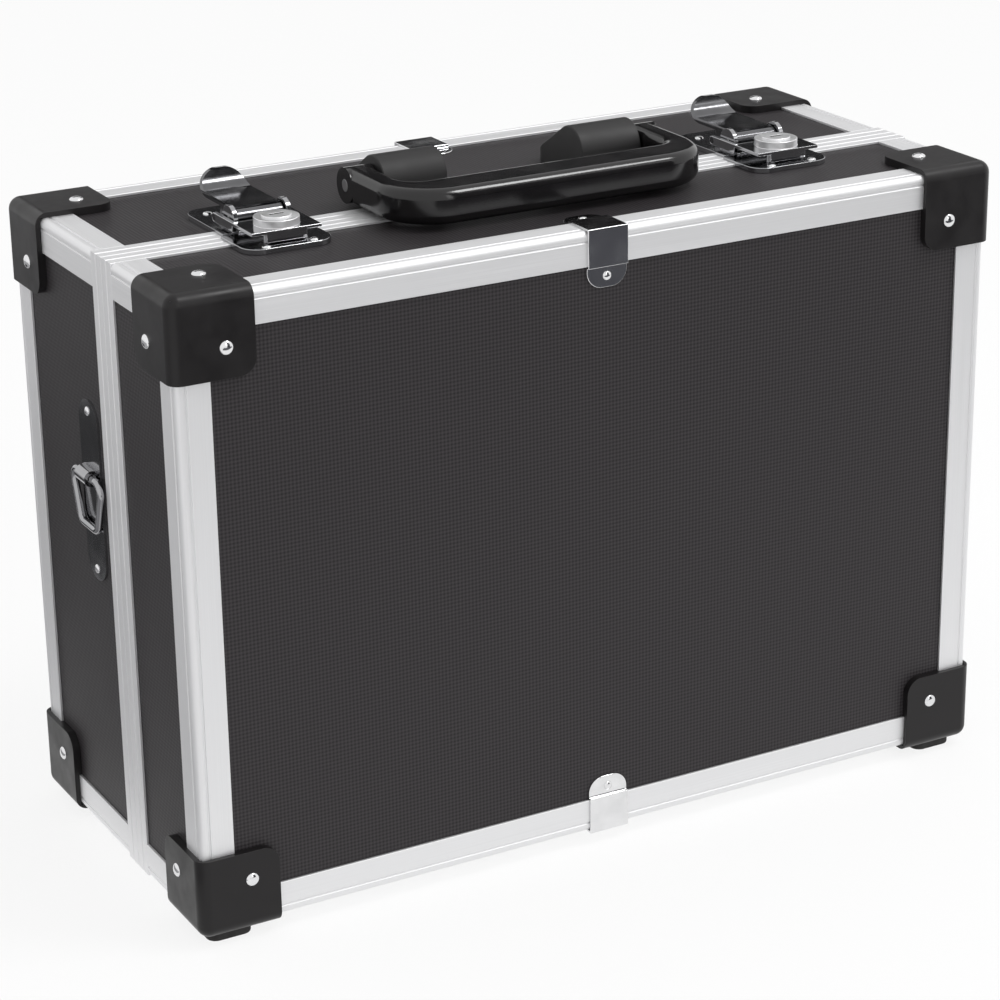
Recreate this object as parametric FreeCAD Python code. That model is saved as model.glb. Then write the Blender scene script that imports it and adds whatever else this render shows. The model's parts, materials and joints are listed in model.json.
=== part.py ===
import FreeCAD, Part
import math
import os

# A portable tube tester in an aluminium-edged carrying case. Millimetres, +Z up, front of the lid towards -Y,
# origin on the floor under the middle of the case. The case stands on the feet of its hinge side.

# The case over its corner mouldings
CASE_WIDTH = 432.0
CASE_DEPTH = 195.0
CASE_HEIGHT = 306.0
LID_DEPTH = 80.9
FOOT_HEIGHT = 5.0
FOOT_SIZE = 22.0
FOOT_RADIUS = 5.0
FOOT_INSET = 6.5

# Panels and edge profiles
PANEL_THICKNESS = 6.0
PROFILE_WALL = 1.4
PROFILE_LEG = 16.5
PROFILE_RADIUS = 3.0
PROFILE_GROOVE_AT = 4.2
PROFILE_GROOVE_WIDTH = 1.0
PROFILE_GROOVE_DEPTH = 0.5
PROFILE_JOINT_GAP = 0.3

# Rim profiles on both sides of the seam
SEAM_GAP = 0.4
RIM_WIDTH = 11.5
RIM_WEB = 4.0
RIM_INNER_LEG = 9.0
RIM_GROOVE_AT = 5.4
TONGUE_AT = 4.0
TONGUE_THICKNESS = 2.0
TONGUE_HEIGHT = 2.0
TONGUE_CLEARANCE = 0.4

# Corner mouldings
CORNER_SIZE = 40.0
CORNER_PROUD = 2.5
CORNER_EDGE_RADIUS = 6.0
CORNER_EAR_RADIUS = 8.0
CORNER_RIVET_AT = 26.0

# Rivets and screws: head radius and height
RIVET_RADIUS = 3.4
RIVET_HEIGHT = 1.6
SMALL_RIVET_RADIUS = 2.2
SMALL_RIVET_HEIGHT = 1.0
RIVET_CROWN = 0.55

# Clips over the joints of the edge profiles
CLIP_WIDTH = 21.0
CLIP_SHEET = 1.0
CLIP_TONGUE = 11.0
CLIP_END_RADIUS = 8.0

# Handle
HANDLE_HALF_WIDTH = 84.0
HANDLE_ARM = 14.0
HANDLE_REACH = 61.0
HANDLE_THICKNESS = 17.0
HANDLE_ROUND = 5.0
GRIP_DEPTH = 24.0
GRIP_OUTER_RADIUS = 28.0
GRIP_INNER_RADIUS = 9.0
HANDLE_BEHIND_SEAM = 18.5
HANDLE_FLOAT = 1.5
HANDLE_PIN_RADIUS = 3.0
HANDLE_PIN_DEPTH = 12.0
BRACKET_WIDTH = 33.0
BRACKET_GAP = 0.6
BRACKET_FRONT = 14.0
BRACKET_CLEARANCE = 2.0
BRACKET_TOE = 3.0
BRACKET_CROWN = 12.5

# Latches, measured from the seam (back is positive) and up from the rim's outer face
LATCH_FROM_SIDE = 82.0
LATCH_SHEET = 1.2
LATCH_PLATE_HALF_WIDTH = 20.0
LATCH_PLATE_FRONT = 1.0
LATCH_PLATE_BACK = 47.5
LATCH_PIVOT_BACK = 7.0
LATCH_PIVOT_UP = 6.0
LATCH_PIN_RADIUS = 1.6
CHEEK_INNER = 12.2
CHEEK_SHEET = 2.2
CHEEK_RADIUS = 6.6
LEVER_HALF_WIDTH = 11.6
LEVER_HUB_RADIUS = 4.3
LEVER_TOP = 11.0
LEVER_SHEET = 2.4
LEVER_BLOCK_BACK = 22.0
LEVER_BLOCK_BOTTOM = 2.4
LEVER_STRAIGHT = 37.0
LEVER_CURL_RADIUS = 9.5
LEVER_CURL_ANGLE = 85.0
LEVER_TIP_RADIUS = 10.5
HOOK_PIN_BEHIND_PIVOT = 10.0
HOOK_PIN_DROP = 1.0
HOOK_PIN_RADIUS = 1.5
HOOK_ARM_INNER = 15.0
HOOK_ARM_SHEET = 2.2
HOOK_ARM_HALF_HEIGHT = 2.2
HOOK_SHEET = 1.6
HOOK_FRONT = -25.0
HOOK_REAR = -2.5
HOOK_LIP_HALF_WIDTH = 10.0
HOOK_LIP_FLOAT = 0.6
LOCK_AT = -14.0
LOCK_BOSS_RADIUS = 10.5
LOCK_BOSS_HEIGHT = 3.6
LOCK_RADIUS = 7.0
LOCK_HEIGHT = 4.4
KEY_SLOT_WIDTH = 1.4
KEY_SLOT_LENGTH = 7.0
KEY_SLOT_DEPTH = 2.0
STRIKE_HALF_WIDTH = 22.0
STRIKE_FRONT = -31.0
STRIKE_REAR = -1.0
STRIKE_END_RADIUS = 9.0
STRIKE_LIP_GAP = 0.5
STRIKE_LIP_SHEET = 1.6
STRIKE_LIP_BELOW_HOOK = 0.4

# Strap rings on the side walls of the base
STRAP_PLATE_WIDTH = 22.0
STRAP_PLATE_LENGTH = 89.0
STRAP_PLATE_SHEET = 1.4
STRAP_PLATE_MIDDLE = 189.0
STRAP_PLATE_BEHIND_RIM = 6.5
STRAP_HUMP_ABOVE_MIDDLE = 8.0
STRAP_HUMP_LENGTH = 12.0
STRAP_HUMP_WALL = 1.8
RING_WIRE_RADIUS = 1.8
RING_CLEARANCE = 0.3
RING_TOP_WIDTH = 36.0
RING_BOTTOM_WIDTH = 20.0
RING_DROP = 25.0
RING_BEND_RADIUS = 5.0

# Hinges under the seam
HINGE_X = 110.0
HINGE_LENGTH = 60.0
HINGE_KNUCKLE_RADIUS = 2.5
HINGE_DROP = 0.4
HINGE_PIN_RADIUS = 1.2
HINGE_LEAF_SHEET = 1.2
HINGE_LEAF_EDGE = 11.4
HINGE_KNUCKLE_GAP = 0.3
HINGE_LEAF_START = 3.2

# Instrument panel and what is set in it. Heights are of each middle. Across the width, the outer column keeps
# a distance from the inner walls and the rest stand at shares of the inner half width
DECK_RECESS = 14.0
DECK_SHEET = 2.0
DECK_CLEARANCE = 0.8
RAIL_SIZE = 12.0
DECK_SCREW_INSET = 7.0
CONTROL_INSET = 48.0
METER_Z = 84.0
METER_WIDTH, METER_HEIGHT = 110.0, 84.0
METER_BEZEL = 12.0
METER_WALL = 5.0
METER_STEP = 4.0
METER_BODY = 26.0
METER_FLOOR = 1.0
DIAL_SHEET = 1.0
WINDOW_SHEET = 2.0
WINDOW_INSET = 1.0
NEEDLE_PIVOT_UP = 24.0
NEEDLE_LENGTH = 48.0
NEEDLE_WIDTH = 1.2
NEEDLE_SHEET = 0.6
NEEDLE_ABOVE_DIAL = 2.0
NEEDLE_HUB_RADIUS = 3.4
NEEDLE_SHAFT_RADIUS = 0.8
NEEDLE_SHAFT_LENGTH = 5.0
NEEDLE_REST_ANGLE = 42.0
NEEDLE_TAIL_LENGTH = 11.0
NEEDLE_TAIL_WIDTH = 8.0
KNOB_Z = 165.0
KNOB_SHARES = {"filament_knob": -0.534, "bias_knob": 0.0, "function_knob": 0.534}
KNOB_RADIUS = 17.0
KNOB_SKIRT = 4.0
KNOB_HEIGHT = 17.0
KNOB_BAR_WIDTH = 10.0
KNOB_FLOAT = 1.0
KNOB_SHAFT_RADIUS = 3.0
KNOB_SHAFT_LENGTH = 16.0
SWITCH_RADIUS = 15.0
SWITCH_LENGTH = 24.0
BUSHING_RADIUS = 4.7
SOCKET_Z = 240.0
NOVAL_SHARES = (-0.572, -0.3)
MINIATURE_SHARES = (0.3, 0.572)
OCTAL_PINS, OCTAL_PLACES = 8, 8
NOVAL_PINS, NOVAL_PLACES = 9, 10
MINIATURE_PINS, MINIATURE_PLACES = 7, 8
OCTAL_RADIUS = 17.0
NOVAL_RADIUS = 13.0
MINIATURE_RADIUS = 11.5
SOCKET_FLANGE = 3.0
SOCKET_FLANGE_LIP = 3.0
SOCKET_BODY = 12.0
OCTAL_KEY_RADIUS = 4.0
OCTAL_PIN_CIRCLE = 8.7
NOVAL_PIN_CIRCLE = 5.95
MINIATURE_PIN_CIRCLE = 4.76
OCTAL_PIN_HOLE = 1.3
SMALL_PIN_HOLE = 0.8
PIN_HOLE_DEPTH = 8.0
BUTTON_Z = 84.0
BUTTON_RADIUS = 8.0
BUTTON_PROUD = 9.0
BUTTON_TRAVEL = 3.0
BUTTON_RING = 4.0
BUTTON_RING_WALL = 4.0
BUTTON_BODY = 22.0
ROCKER_Z = 68.0
ROCKER_WIDTH, ROCKER_LENGTH = 11.0, 21.0
ROCKER_WALL = 1.6
ROCKER_LIP = 2.0
ROCKER_FRAME_HEIGHT = 2.0
ROCKER_BODY = 18.0
ROCKER_PIVOT_IN = 2.5
ROCKER_TILT = 7.0
ROCKER_PIN_RADIUS = 1.2
ROCKER_PROUD_END = 3.6
ROCKER_PROUD_MIDDLE = 1.6
ROCKER_END_GAP = 0.9
LAMP_Z = 106.0
LAMP_RADIUS = 7.0
LAMP_BEZEL = 3.0
LAMP_LENS_RADIUS = 5.2
LAMP_BODY = 18.0
FUSE_Z = 240.0
FUSE_RADIUS = 8.0
FUSE_HEIGHT = 10.0
FUSE_FLANGE = 2.0
FUSE_FLANGE_RADIUS = 10.0
FUSE_BODY = 30.0
INLET_Z = 204.0
INLET_WIDTH, INLET_HEIGHT = 27.0, 20.0
INLET_WALL = 2.0
INLET_FLANGE_WIDTH, INLET_FLANGE_HEIGHT = 50.0, 28.0
INLET_FLANGE = 3.0
INLET_DEPTH = 17.0
INLET_FLOOR = 5.0
INLET_BLADE = 11.0
INLET_BLADE_SIZE = (2.0, 4.0)
INLET_BLADE_SPREAD = 7.0
INLET_EARTH_UP = 4.0

# Inside the base, fastened to its back panel
CORE_SHARE, CORE_Z = 0.534, 110.0
CORE_WIDTH, CORE_HEIGHT, CORE_STACK = 72.0, 60.0, 30.0
CORE_LEG = 12.0
CORE_STANDOFF = 13.0
FRAME_SHEET = 1.5
FRAME_FOOT = 14.0
WINDING_OVERHANG = 9.0
BOARD_SHARE, BOARD_Z = -0.388, 140.0
BOARD_WIDTH, BOARD_HEIGHT, BOARD_SHEET = 160.0, 100.0, 1.6
STANDOFF_RADIUS = 3.0
STANDOFF_HEIGHT = 12.0
STANDOFF_INSET = 6.0

# Foam lining of the lid
FOAM_THICKNESS = 12.0
FOAM_CLEARANCE = 2.0

# Clearances: a shaft or pin that turns in a bore, a pin that is fixed in one, a part set in a hole
RUNNING = 0.05
FIXED = 0.02
SET_IN = 0.1
MARGIN = 1.0
REACH = 600.0

V = FreeCAD.Vector
X, Y, Z = V(1, 0, 0), V(0, 1, 0), V(0, 0, 1)

# Planes of the case: outer faces of the profiles, outer faces of the panels, inner faces of the panels
MIDDLE_Z = FOOT_HEIGHT + CASE_HEIGHT / 2
PROFILE_X = CASE_WIDTH / 2 - CORNER_PROUD
PROFILE_Y = CASE_DEPTH / 2 - CORNER_PROUD
PROFILE_LOW = FOOT_HEIGHT + CORNER_PROUD
PROFILE_HIGH = FOOT_HEIGHT + CASE_HEIGHT - CORNER_PROUD
PANEL_X = PROFILE_X - PROFILE_WALL
PANEL_Y = PROFILE_Y - PROFILE_WALL
PANEL_LOW = PROFILE_LOW + PROFILE_WALL
PANEL_HIGH = PROFILE_HIGH - PROFILE_WALL
INNER_X = PANEL_X - PANEL_THICKNESS
INNER_Y = PANEL_Y - PANEL_THICKNESS
INNER_LOW = PANEL_LOW + PANEL_THICKNESS
INNER_HIGH = PANEL_HIGH - PANEL_THICKNESS
SEAM_Y = LID_DEPTH - CASE_DEPTH / 2
BASE_DEPTH = CASE_DEPTH - LID_DEPTH
BASE_RIM_BACK = SEAM_Y + SEAM_GAP / 2 + RIM_WIDTH
DECK_FACE = SEAM_Y + SEAM_GAP / 2 + DECK_RECESS
DECK_BACK = DECK_FACE + DECK_SHEET
METER_X = OCTAL_X = 0.0
KNOB_X = {name: share * INNER_X for name, share in KNOB_SHARES.items()}
NOVAL_X = [share * INNER_X for share in NOVAL_SHARES]
MINIATURE_X = [share * INNER_X for share in MINIATURE_SHARES]
BUTTON_X = INNER_X - CONTROL_INSET
ROCKER_X = LAMP_X = FUSE_X = INLET_X = CONTROL_INSET - INNER_X
CORE_X = CORE_SHARE * INNER_X
BOARD_X = BOARD_SHARE * INNER_X


def block(x0, x1, y0, y1, z0, z1):
    return Part.makeBox(x1 - x0, y1 - y0, z1 - z0, V(x0, y0, z0))


def rod(radius, start, end):
    return Part.makeCylinder(radius, (end - start).Length, start, end - start)


def outline(start, *steps):
    """A closed wire from start: each step is the next corner, or (a point on an arc, the arc's end)."""
    edges = []
    here = start
    for step in (*steps, start):
        if isinstance(step, tuple):
            edges.append(Part.Arc(here, *step).toShape())
            here = step[1]
        elif not step.isEqual(here, 1e-7):
            edges.append(Part.LineSegment(here, step).toShape())
            here = step
    return Part.Wire(edges)


def prism(wire, along):
    return Part.Face(wire).extrude(along)


def edges_along(shape, axis, keep=lambda middle: True):
    """The straight edges of a shape that run along an axis and whose middles pass the test."""
    found = []
    for edge in shape.Edges:
        straight = edge.Curve.TypeId == "Part::GeomLine"
        if straight and abs(edge.Curve.Direction.dot(axis)) > 0.999 and keep(edge.CenterOfMass):
            found.append(edge)
    return found


def fused(*shapes):
    return shapes[0].fuse(list(shapes[1:])).removeSplitter()


def group(shapes):
    return Part.makeCompound([solid for shape in shapes for solid in shape.Solids])


def left_and_right(shape):
    """A piece and its mirror image on the other side of the case."""
    return [shape, shape.mirror(V(), X)]


def low_and_high(shape):
    """A piece and its mirror image at the other end of the case's height."""
    return [shape, shape.mirror(V(0, 0, MIDDLE_Z), Z)]


def to_base(shapes):
    """Pieces drawn on a front half, mirrored to the back half."""
    return [shape.mirror(V(), Y) for shape in shapes]


def rivet_head(seat, normal, radius=RIVET_RADIUS, height=RIVET_HEIGHT):
    return Part.makeCone(radius, radius * RIVET_CROWN, height, seat, normal)


def small_rivet(seat, normal):
    return rivet_head(seat, normal, SMALL_RIVET_RADIUS, SMALL_RIVET_HEIGHT)


# One half of the case, drawn at the front: depth is from its outer face to the seam

def wall_panels(depth):
    start = -INNER_Y
    end = depth - CASE_DEPTH / 2 - SEAM_GAP / 2 - RIM_WEB
    floor = block(-PANEL_X, PANEL_X, start, end, PANEL_LOW, INNER_LOW)
    side = block(-PANEL_X, -INNER_X, start, end, INNER_LOW, INNER_HIGH)
    return low_and_high(floor) + left_and_right(side)


def face_panel():
    return block(-PANEL_X, PANEL_X, -PANEL_Y, -INNER_Y, PANEL_LOW, PANEL_HIGH)


def mitre_tool(start, end, inward, depth, at_start, at_end):
    """A wide slab whose marked ends lean at 45 degrees, for trimming a bar that runs from start to end."""
    along = (end - start).normalize()
    across = along.cross(inward)
    corners = [
        start - inward * MARGIN - along * MARGIN * at_start,
        end - inward * MARGIN + along * MARGIN * at_end,
        end + inward * depth - along * depth * at_end,
        start + inward * depth + along * depth * at_start,
    ]
    face = Part.Face(outline(*corners))
    face.translate(across * -REACH)
    return face.extrude(across * 2 * REACH)


def edge_profile(start, end, u, v, at_start, at_end):
    """An L profile with its fold from start to end and its legs along u and v, mitred at the marked ends."""
    def at(a, b):
        return start + u * a + v * b

    leg, wall, bend = PROFILE_LEG, PROFILE_WALL, PROFILE_RADIUS
    near, deep = PROFILE_GROOVE_AT, PROFILE_GROOVE_DEPTH
    far = near + PROFILE_GROOVE_WIDTH
    shoulder = bend * (1 - math.sqrt(0.5))
    section = outline(
        at(0, bend), (at(shoulder, shoulder), at(bend, 0)),
        at(near, 0), at(near, deep), at(far, deep), at(far, 0),
        at(leg, 0), at(leg, wall), at(wall, wall), at(wall, leg), at(0, leg),
        at(0, far), at(deep, far), at(deep, near), at(0, near),
    )
    bar = prism(section, end - start)
    for inward in (u, v):
        bar = bar.common(mitre_tool(start, end, inward, leg + MARGIN, at_start, at_end))
    return bar


def face_profiles():
    """Profiles round a face: the long ones are in two lengths that meet under the clips."""
    front = -PROFILE_Y
    low_left = edge_profile(
        V(-PROFILE_X, front, PROFILE_LOW), V(-PROFILE_JOINT_GAP / 2, front, PROFILE_LOW), Y, Z, 1, 0)
    upright = edge_profile(
        V(-PROFILE_X, front, PROFILE_LOW), V(-PROFILE_X, front, PROFILE_HIGH), Y, X, 1, 1)
    lengths = left_and_right(upright)
    for piece in left_and_right(low_left):
        lengths += low_and_high(piece)
    return lengths


def depth_profiles(depth):
    """Profiles along the depth, from the corner to the rim."""
    end = depth - CASE_DEPTH / 2 - SEAM_GAP / 2 - RIM_WIDTH
    low_left = edge_profile(
        V(-PROFILE_X, -PROFILE_Y, PROFILE_LOW), V(-PROFILE_X, end, PROFILE_LOW), X, Z, 1, 0)
    lengths = []
    for piece in left_and_right(low_left):
        lengths += low_and_high(piece)
    return lengths


def rim_profile(start, end, inward, seal):
    """A channel that grips the edge of a wall. Its mating face carries a tongue, a groove or nothing."""
    def at(v, w):
        return start + inward * v - Y * w

    wall = PROFILE_WALL
    seat = wall + PANEL_THICKNESS
    full = seat + wall
    near, deep = RIM_GROOVE_AT, PROFILE_GROOVE_DEPTH
    far = near + PROFILE_GROOVE_WIDTH
    spread = TONGUE_CLEARANCE if seal == "groove" else 0.0
    tongue = {"tongue": -TONGUE_HEIGHT, "groove": TONGUE_HEIGHT + TONGUE_CLEARANCE, "plain": 0.0}[seal]
    low, high = TONGUE_AT - spread, TONGUE_AT + TONGUE_THICKNESS + spread
    section = outline(
        at(0, 0), at(0, near), at(deep, near), at(deep, far), at(0, far), at(0, RIM_WIDTH),
        at(wall, RIM_WIDTH), at(wall, RIM_WEB), at(seat, RIM_WEB), at(seat, RIM_INNER_LEG),
        at(full, RIM_INNER_LEG), at(full, 0),
        *([at(high, 0), at(high, tongue), at(low, tongue), at(low, 0)] if tongue else []),
    )
    return prism(section, end - start).common(mitre_tool(start, end, inward, full + MARGIN, 1, 1))


def rim_profiles(depth, seal, low_seal):
    """The four rim lengths of a half. The hinge side may carry another seal."""
    mate = depth - CASE_DEPTH / 2 - SEAM_GAP / 2
    low = rim_profile(V(-PROFILE_X, mate, PROFILE_LOW), V(PROFILE_X, mate, PROFILE_LOW), Z, low_seal)
    high = rim_profile(V(-PROFILE_X, mate, PROFILE_HIGH), V(PROFILE_X, mate, PROFILE_HIGH), -Z, seal)
    side = rim_profile(V(-PROFILE_X, mate, PROFILE_LOW), V(-PROFILE_X, mate, PROFILE_HIGH), X, seal)
    return [low, high] + left_and_right(side)


def corner_cap():
    """The moulding of the lower left front corner: three plates that lie on the profiles and the panels."""
    size = CORNER_SIZE
    cap = Part.makeBox(size, size, size)
    at_vertex = [edge for edge in cap.Edges if edge.CenterOfMass.Length < size * 0.51]
    cap = cap.makeFillet(CORNER_EDGE_RADIUS, at_vertex)
    for axis in (X, Y, Z):
        far_corner = (X + Y + Z - axis) * size
        ear = Part.makeBox(size, size, size)
        ear_edge = edges_along(ear, axis, lambda p: (p - axis * (size / 2) - far_corner).Length < MARGIN)
        cap = cap.common(ear.makeFillet(CORNER_EAR_RADIUS, ear_edge))
    skin = CORNER_PROUD
    leg = skin + PROFILE_LEG
    panel = skin + PROFILE_WALL
    end = size + MARGIN
    hollow = [
        block(panel, end, panel, end, panel, end),
        block(skin, end, skin, leg, skin, leg),
        block(skin, leg, skin, end, skin, leg),
        block(skin, leg, skin, leg, skin, end),
    ]
    cap = cap.cut(hollow).removeSplitter()
    cap.translate(V(-CASE_WIDTH / 2, -CASE_DEPTH / 2, FOOT_HEIGHT))
    return cap


def corner_rivet(axis):
    """The rivet on one face of the lower left front corner."""
    vertex = V(-CASE_WIDTH / 2, -CASE_DEPTH / 2, FOOT_HEIGHT)
    return rivet_head(vertex + (X + Y + Z - axis) * CORNER_RIVET_AT, -axis)


def at_corners(piece):
    """A piece of the lower left corner, repeated at the four corners of a face."""
    return [copy for mirrored in left_and_right(piece) for copy in low_and_high(mirrored)]


def foot():
    """A pad under the lower left front corner."""
    x, y = FOOT_INSET - CASE_WIDTH / 2, FOOT_INSET - CASE_DEPTH / 2
    pad = block(x, x + FOOT_SIZE, y, y + FOOT_SIZE, 0, FOOT_HEIGHT)
    return pad.makeFillet(FOOT_RADIUS, edges_along(pad, Z))


def edge_clip():
    """A strip bent over the lower front edge, with a rounded tongue on each face."""
    fold = V(-CLIP_WIDTH / 2, -PROFILE_Y, PROFILE_LOW)

    def at(a, b):
        return fold + Y * a + Z * b

    leg, wall, sheet = PROFILE_LEG, PROFILE_WALL, CLIP_SHEET
    end = leg + CLIP_TONGUE
    section = outline(
        at(-sheet, -sheet), at(leg + sheet, -sheet), at(leg + sheet, wall - sheet), at(end, wall - sheet),
        at(end, wall), at(leg, wall), at(leg, 0), at(0, 0), at(0, leg), at(wall, leg), at(wall, end),
        at(wall - sheet, end), at(wall - sheet, leg + sheet), at(-sheet, leg + sheet),
    )
    clip = prism(section, X * CLIP_WIDTH)
    ends = edges_along(clip, Z, lambda p: p.y > fold.y + end - MARGIN / 2)
    ends += edges_along(clip, Y, lambda p: p.z > fold.z + end - MARGIN / 2)
    return clip.makeFillet(CLIP_END_RADIUS, ends)


def clip_rivets():
    reach = PROFILE_LEG + CLIP_TONGUE / 2
    lift = PROFILE_WALL - CLIP_SHEET
    return [
        small_rivet(V(0, lift - PROFILE_Y, PROFILE_LOW + reach), -Y),
        small_rivet(V(0, reach - PROFILE_Y, PROFILE_LOW + lift), -Z),
    ]


def half_rivets():
    """Rivets of the corners and clips of a front half. Feet take the place of the rivets underneath."""
    heads = at_corners(corner_rivet(X)) + at_corners(corner_rivet(Y))
    heads += [low_and_high(head)[1] for head in left_and_right(corner_rivet(Z))]
    for head in clip_rivets():
        heads += low_and_high(head)
    return heads


# Handle

HANDLE_Y = SEAM_Y + HANDLE_BEHIND_SEAM
HANDLE_LOW = PROFILE_HIGH + HANDLE_FLOAT
HANDLE_Z = HANDLE_LOW + HANDLE_THICKNESS / 2
HANDLE_INNER = HANDLE_HALF_WIDTH - HANDLE_ARM


def handle_grip():
    front = HANDLE_Y - HANDLE_REACH
    high = HANDLE_LOW + HANDLE_THICKNESS
    grip = block(-HANDLE_HALF_WIDTH, HANDLE_HALF_WIDTH, front, HANDLE_Y, HANDLE_LOW, high)
    corners = edges_along(grip, Z, lambda p: p.y < front + MARGIN)
    grip = grip.makeFillet(GRIP_OUTER_RADIUS, corners)
    gap = block(-HANDLE_INNER, HANDLE_INNER, front + GRIP_DEPTH, HANDLE_Y + MARGIN, HANDLE_LOW, high)
    corners = edges_along(gap, Z, lambda p: p.y < front + GRIP_DEPTH + MARGIN)
    grip = grip.cut(gap.makeFillet(GRIP_INNER_RADIUS, corners))
    flat = [
        edge for edge in grip.Edges
        if abs(edge.BoundBox.ZLength) < MARGIN / 2 and edge.BoundBox.YMin < HANDLE_Y - MARGIN
    ]
    grip = grip.makeFillet(HANDLE_ROUND, flat)
    for side in (-1, 1):
        inner = V(side * HANDLE_INNER, HANDLE_Y, HANDLE_Z)
        outer = V(side * HANDLE_HALF_WIDTH, HANDLE_Y, HANDLE_Z)
        grip = grip.fuse(rod(HANDLE_THICKNESS / 2, inner, outer))
    bore = rod(HANDLE_PIN_RADIUS + RUNNING, V(-REACH, HANDLE_Y, HANDLE_Z), V(REACH, HANDLE_Y, HANDLE_Z))
    return grip.cut(bore).removeSplitter()


BRACKET_BACK = HANDLE_REACH - GRIP_DEPTH - BRACKET_CLEARANCE
BRACKET_LOW = PROFILE_HIGH + BRACKET_TOE - HANDLE_Z


def bracket_slope():
    """The outward direction of the bracket's back slope, which runs from the crown down to the toe."""
    lean = math.atan2(BRACKET_LOW, BRACKET_BACK)
    lean += math.acos(BRACKET_CROWN / math.hypot(BRACKET_LOW, BRACKET_BACK))
    return V(0, math.cos(lean), math.sin(lean))


def handle_bracket():
    """The left bracket: a hump on the pin, sloping back to a toe that clears the grip when it folds back."""
    pin = V(BRACKET_GAP - HANDLE_INNER, HANDLE_Y, HANDLE_Z)
    bottom = PANEL_HIGH - HANDLE_Z
    crown = BRACKET_CROWN
    section = outline(
        pin + V(0, -BRACKET_FRONT, bottom), pin + V(0, -BRACKET_FRONT, BRACKET_LOW), pin - Y * crown,
        (pin + Z * crown, pin + bracket_slope() * crown), pin + V(0, BRACKET_BACK, BRACKET_LOW),
        pin + V(0, BRACKET_BACK, bottom),
    )
    plan = block(pin.x, pin.x + BRACKET_WIDTH, -REACH, HANDLE_Y + BRACKET_BACK, 0, HANDLE_Z + REACH)
    ends = edges_along(plan, Z, lambda p: p.y > HANDLE_Y + BRACKET_BACK - MARGIN)
    bracket = prism(section, X * BRACKET_WIDTH).common(plan.makeFillet(GRIP_INNER_RADIUS, ends))
    over_rim = block(-REACH, REACH, -REACH, BASE_RIM_BACK, 0, PROFILE_HIGH)
    hole = rod(HANDLE_PIN_RADIUS + FIXED, pin, pin + X * HANDLE_PIN_DEPTH)
    return bracket.cut([over_rim, hole])


def handle_pin():
    start = V(-HANDLE_HALF_WIDTH, HANDLE_Y, HANDLE_Z)
    end = V(BRACKET_GAP - HANDLE_INNER + HANDLE_PIN_DEPTH, HANDLE_Y, HANDLE_Z)
    return rod(HANDLE_PIN_RADIUS, start, end)


def bracket_screws():
    middle = BRACKET_GAP - HANDLE_INNER + BRACKET_WIDTH / 2
    pin = V(middle, HANDLE_Y, HANDLE_Z)
    normal = bracket_slope()
    seat = pin + (normal * BRACKET_CROWN + V(0, BRACKET_BACK, BRACKET_LOW)) * 0.5
    return [small_rivet(seat + X * side * BRACKET_WIDTH / 4, normal) for side in (-1, 1)]


# Latches, drawn on the left side

LATCH_X = CASE_WIDTH / 2 - LATCH_FROM_SIDE


def on_latch(x, back, up):
    return V(x - LATCH_X, SEAM_Y + back, PROFILE_HIGH + up)


def latch_block(x0, x1, back0, back1, up0, up1):
    low, high = on_latch(x0, back0, up0), on_latch(x1, back1, up1)
    return block(low.x, high.x, low.y, high.y, low.z, high.z)


def latch_rod(radius, half_length, back, up):
    return rod(radius, on_latch(-half_length, back, up), on_latch(half_length, back, up))


RIM_EDGE = SEAM_GAP / 2 + RIM_WIDTH
HOOK_PIN_BACK = LATCH_PIVOT_BACK + HOOK_PIN_BEHIND_PIVOT
HOOK_PIN_UP = LATCH_PIVOT_UP - HOOK_PIN_DROP
HOOK_TOP = HOOK_PIN_UP + HOOK_ARM_HALF_HEIGHT
HOOK_UNDER = HOOK_TOP - HOOK_SHEET
HOOK_OUTER = HOOK_ARM_INNER + HOOK_ARM_SHEET


def latch_base_plate():
    """Base plate over the rim and the top wall, with two cheeks for the lever's pin."""
    wide, back = LATCH_PLATE_HALF_WIDTH, LATCH_PLATE_BACK
    plate = latch_block(-wide, wide, LATCH_PLATE_FRONT, back, -PROFILE_WALL, LATCH_SHEET)
    ends = edges_along(plate, Z, lambda p: p.y > SEAM_Y + back - MARGIN)
    plate = plate.makeFillet(STRIKE_END_RADIUS, ends)
    plate = plate.cut(latch_block(-wide, wide, LATCH_PLATE_FRONT, RIM_EDGE, -PROFILE_WALL, 0))
    pivot = LATCH_PIVOT_BACK
    for inner in (CHEEK_INNER, -CHEEK_INNER - CHEEK_SHEET):
        outer = inner + CHEEK_SHEET
        post_back = pivot + CHEEK_RADIUS
        post = latch_block(inner, outer, LATCH_PLATE_FRONT, post_back, LATCH_SHEET, LATCH_PIVOT_UP)
        ends = [on_latch(x, pivot, LATCH_PIVOT_UP) for x in (inner, outer)]
        ear = rod(CHEEK_RADIUS, *ends)
        below = latch_block(inner, outer, -CASE_DEPTH, CASE_DEPTH, -CASE_HEIGHT, LATCH_SHEET)
        plate = plate.fuse([post, ear.cut(below)])
    return plate.cut(latch_rod(LATCH_PIN_RADIUS + FIXED, REACH, pivot, LATCH_PIVOT_UP)).removeSplitter()


def latch_pin():
    return latch_rod(LATCH_PIN_RADIUS, CHEEK_INNER + CHEEK_SHEET, LATCH_PIVOT_BACK, LATCH_PIVOT_UP)


def latch_base_rivets():
    return [
        small_rivet(on_latch(x, back, LATCH_SHEET), Z)
        for x, back in ((-LEVER_HALF_WIDTH, LEVER_STRAIGHT), (LEVER_HALF_WIDTH, LEVER_STRAIGHT))
    ]


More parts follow.
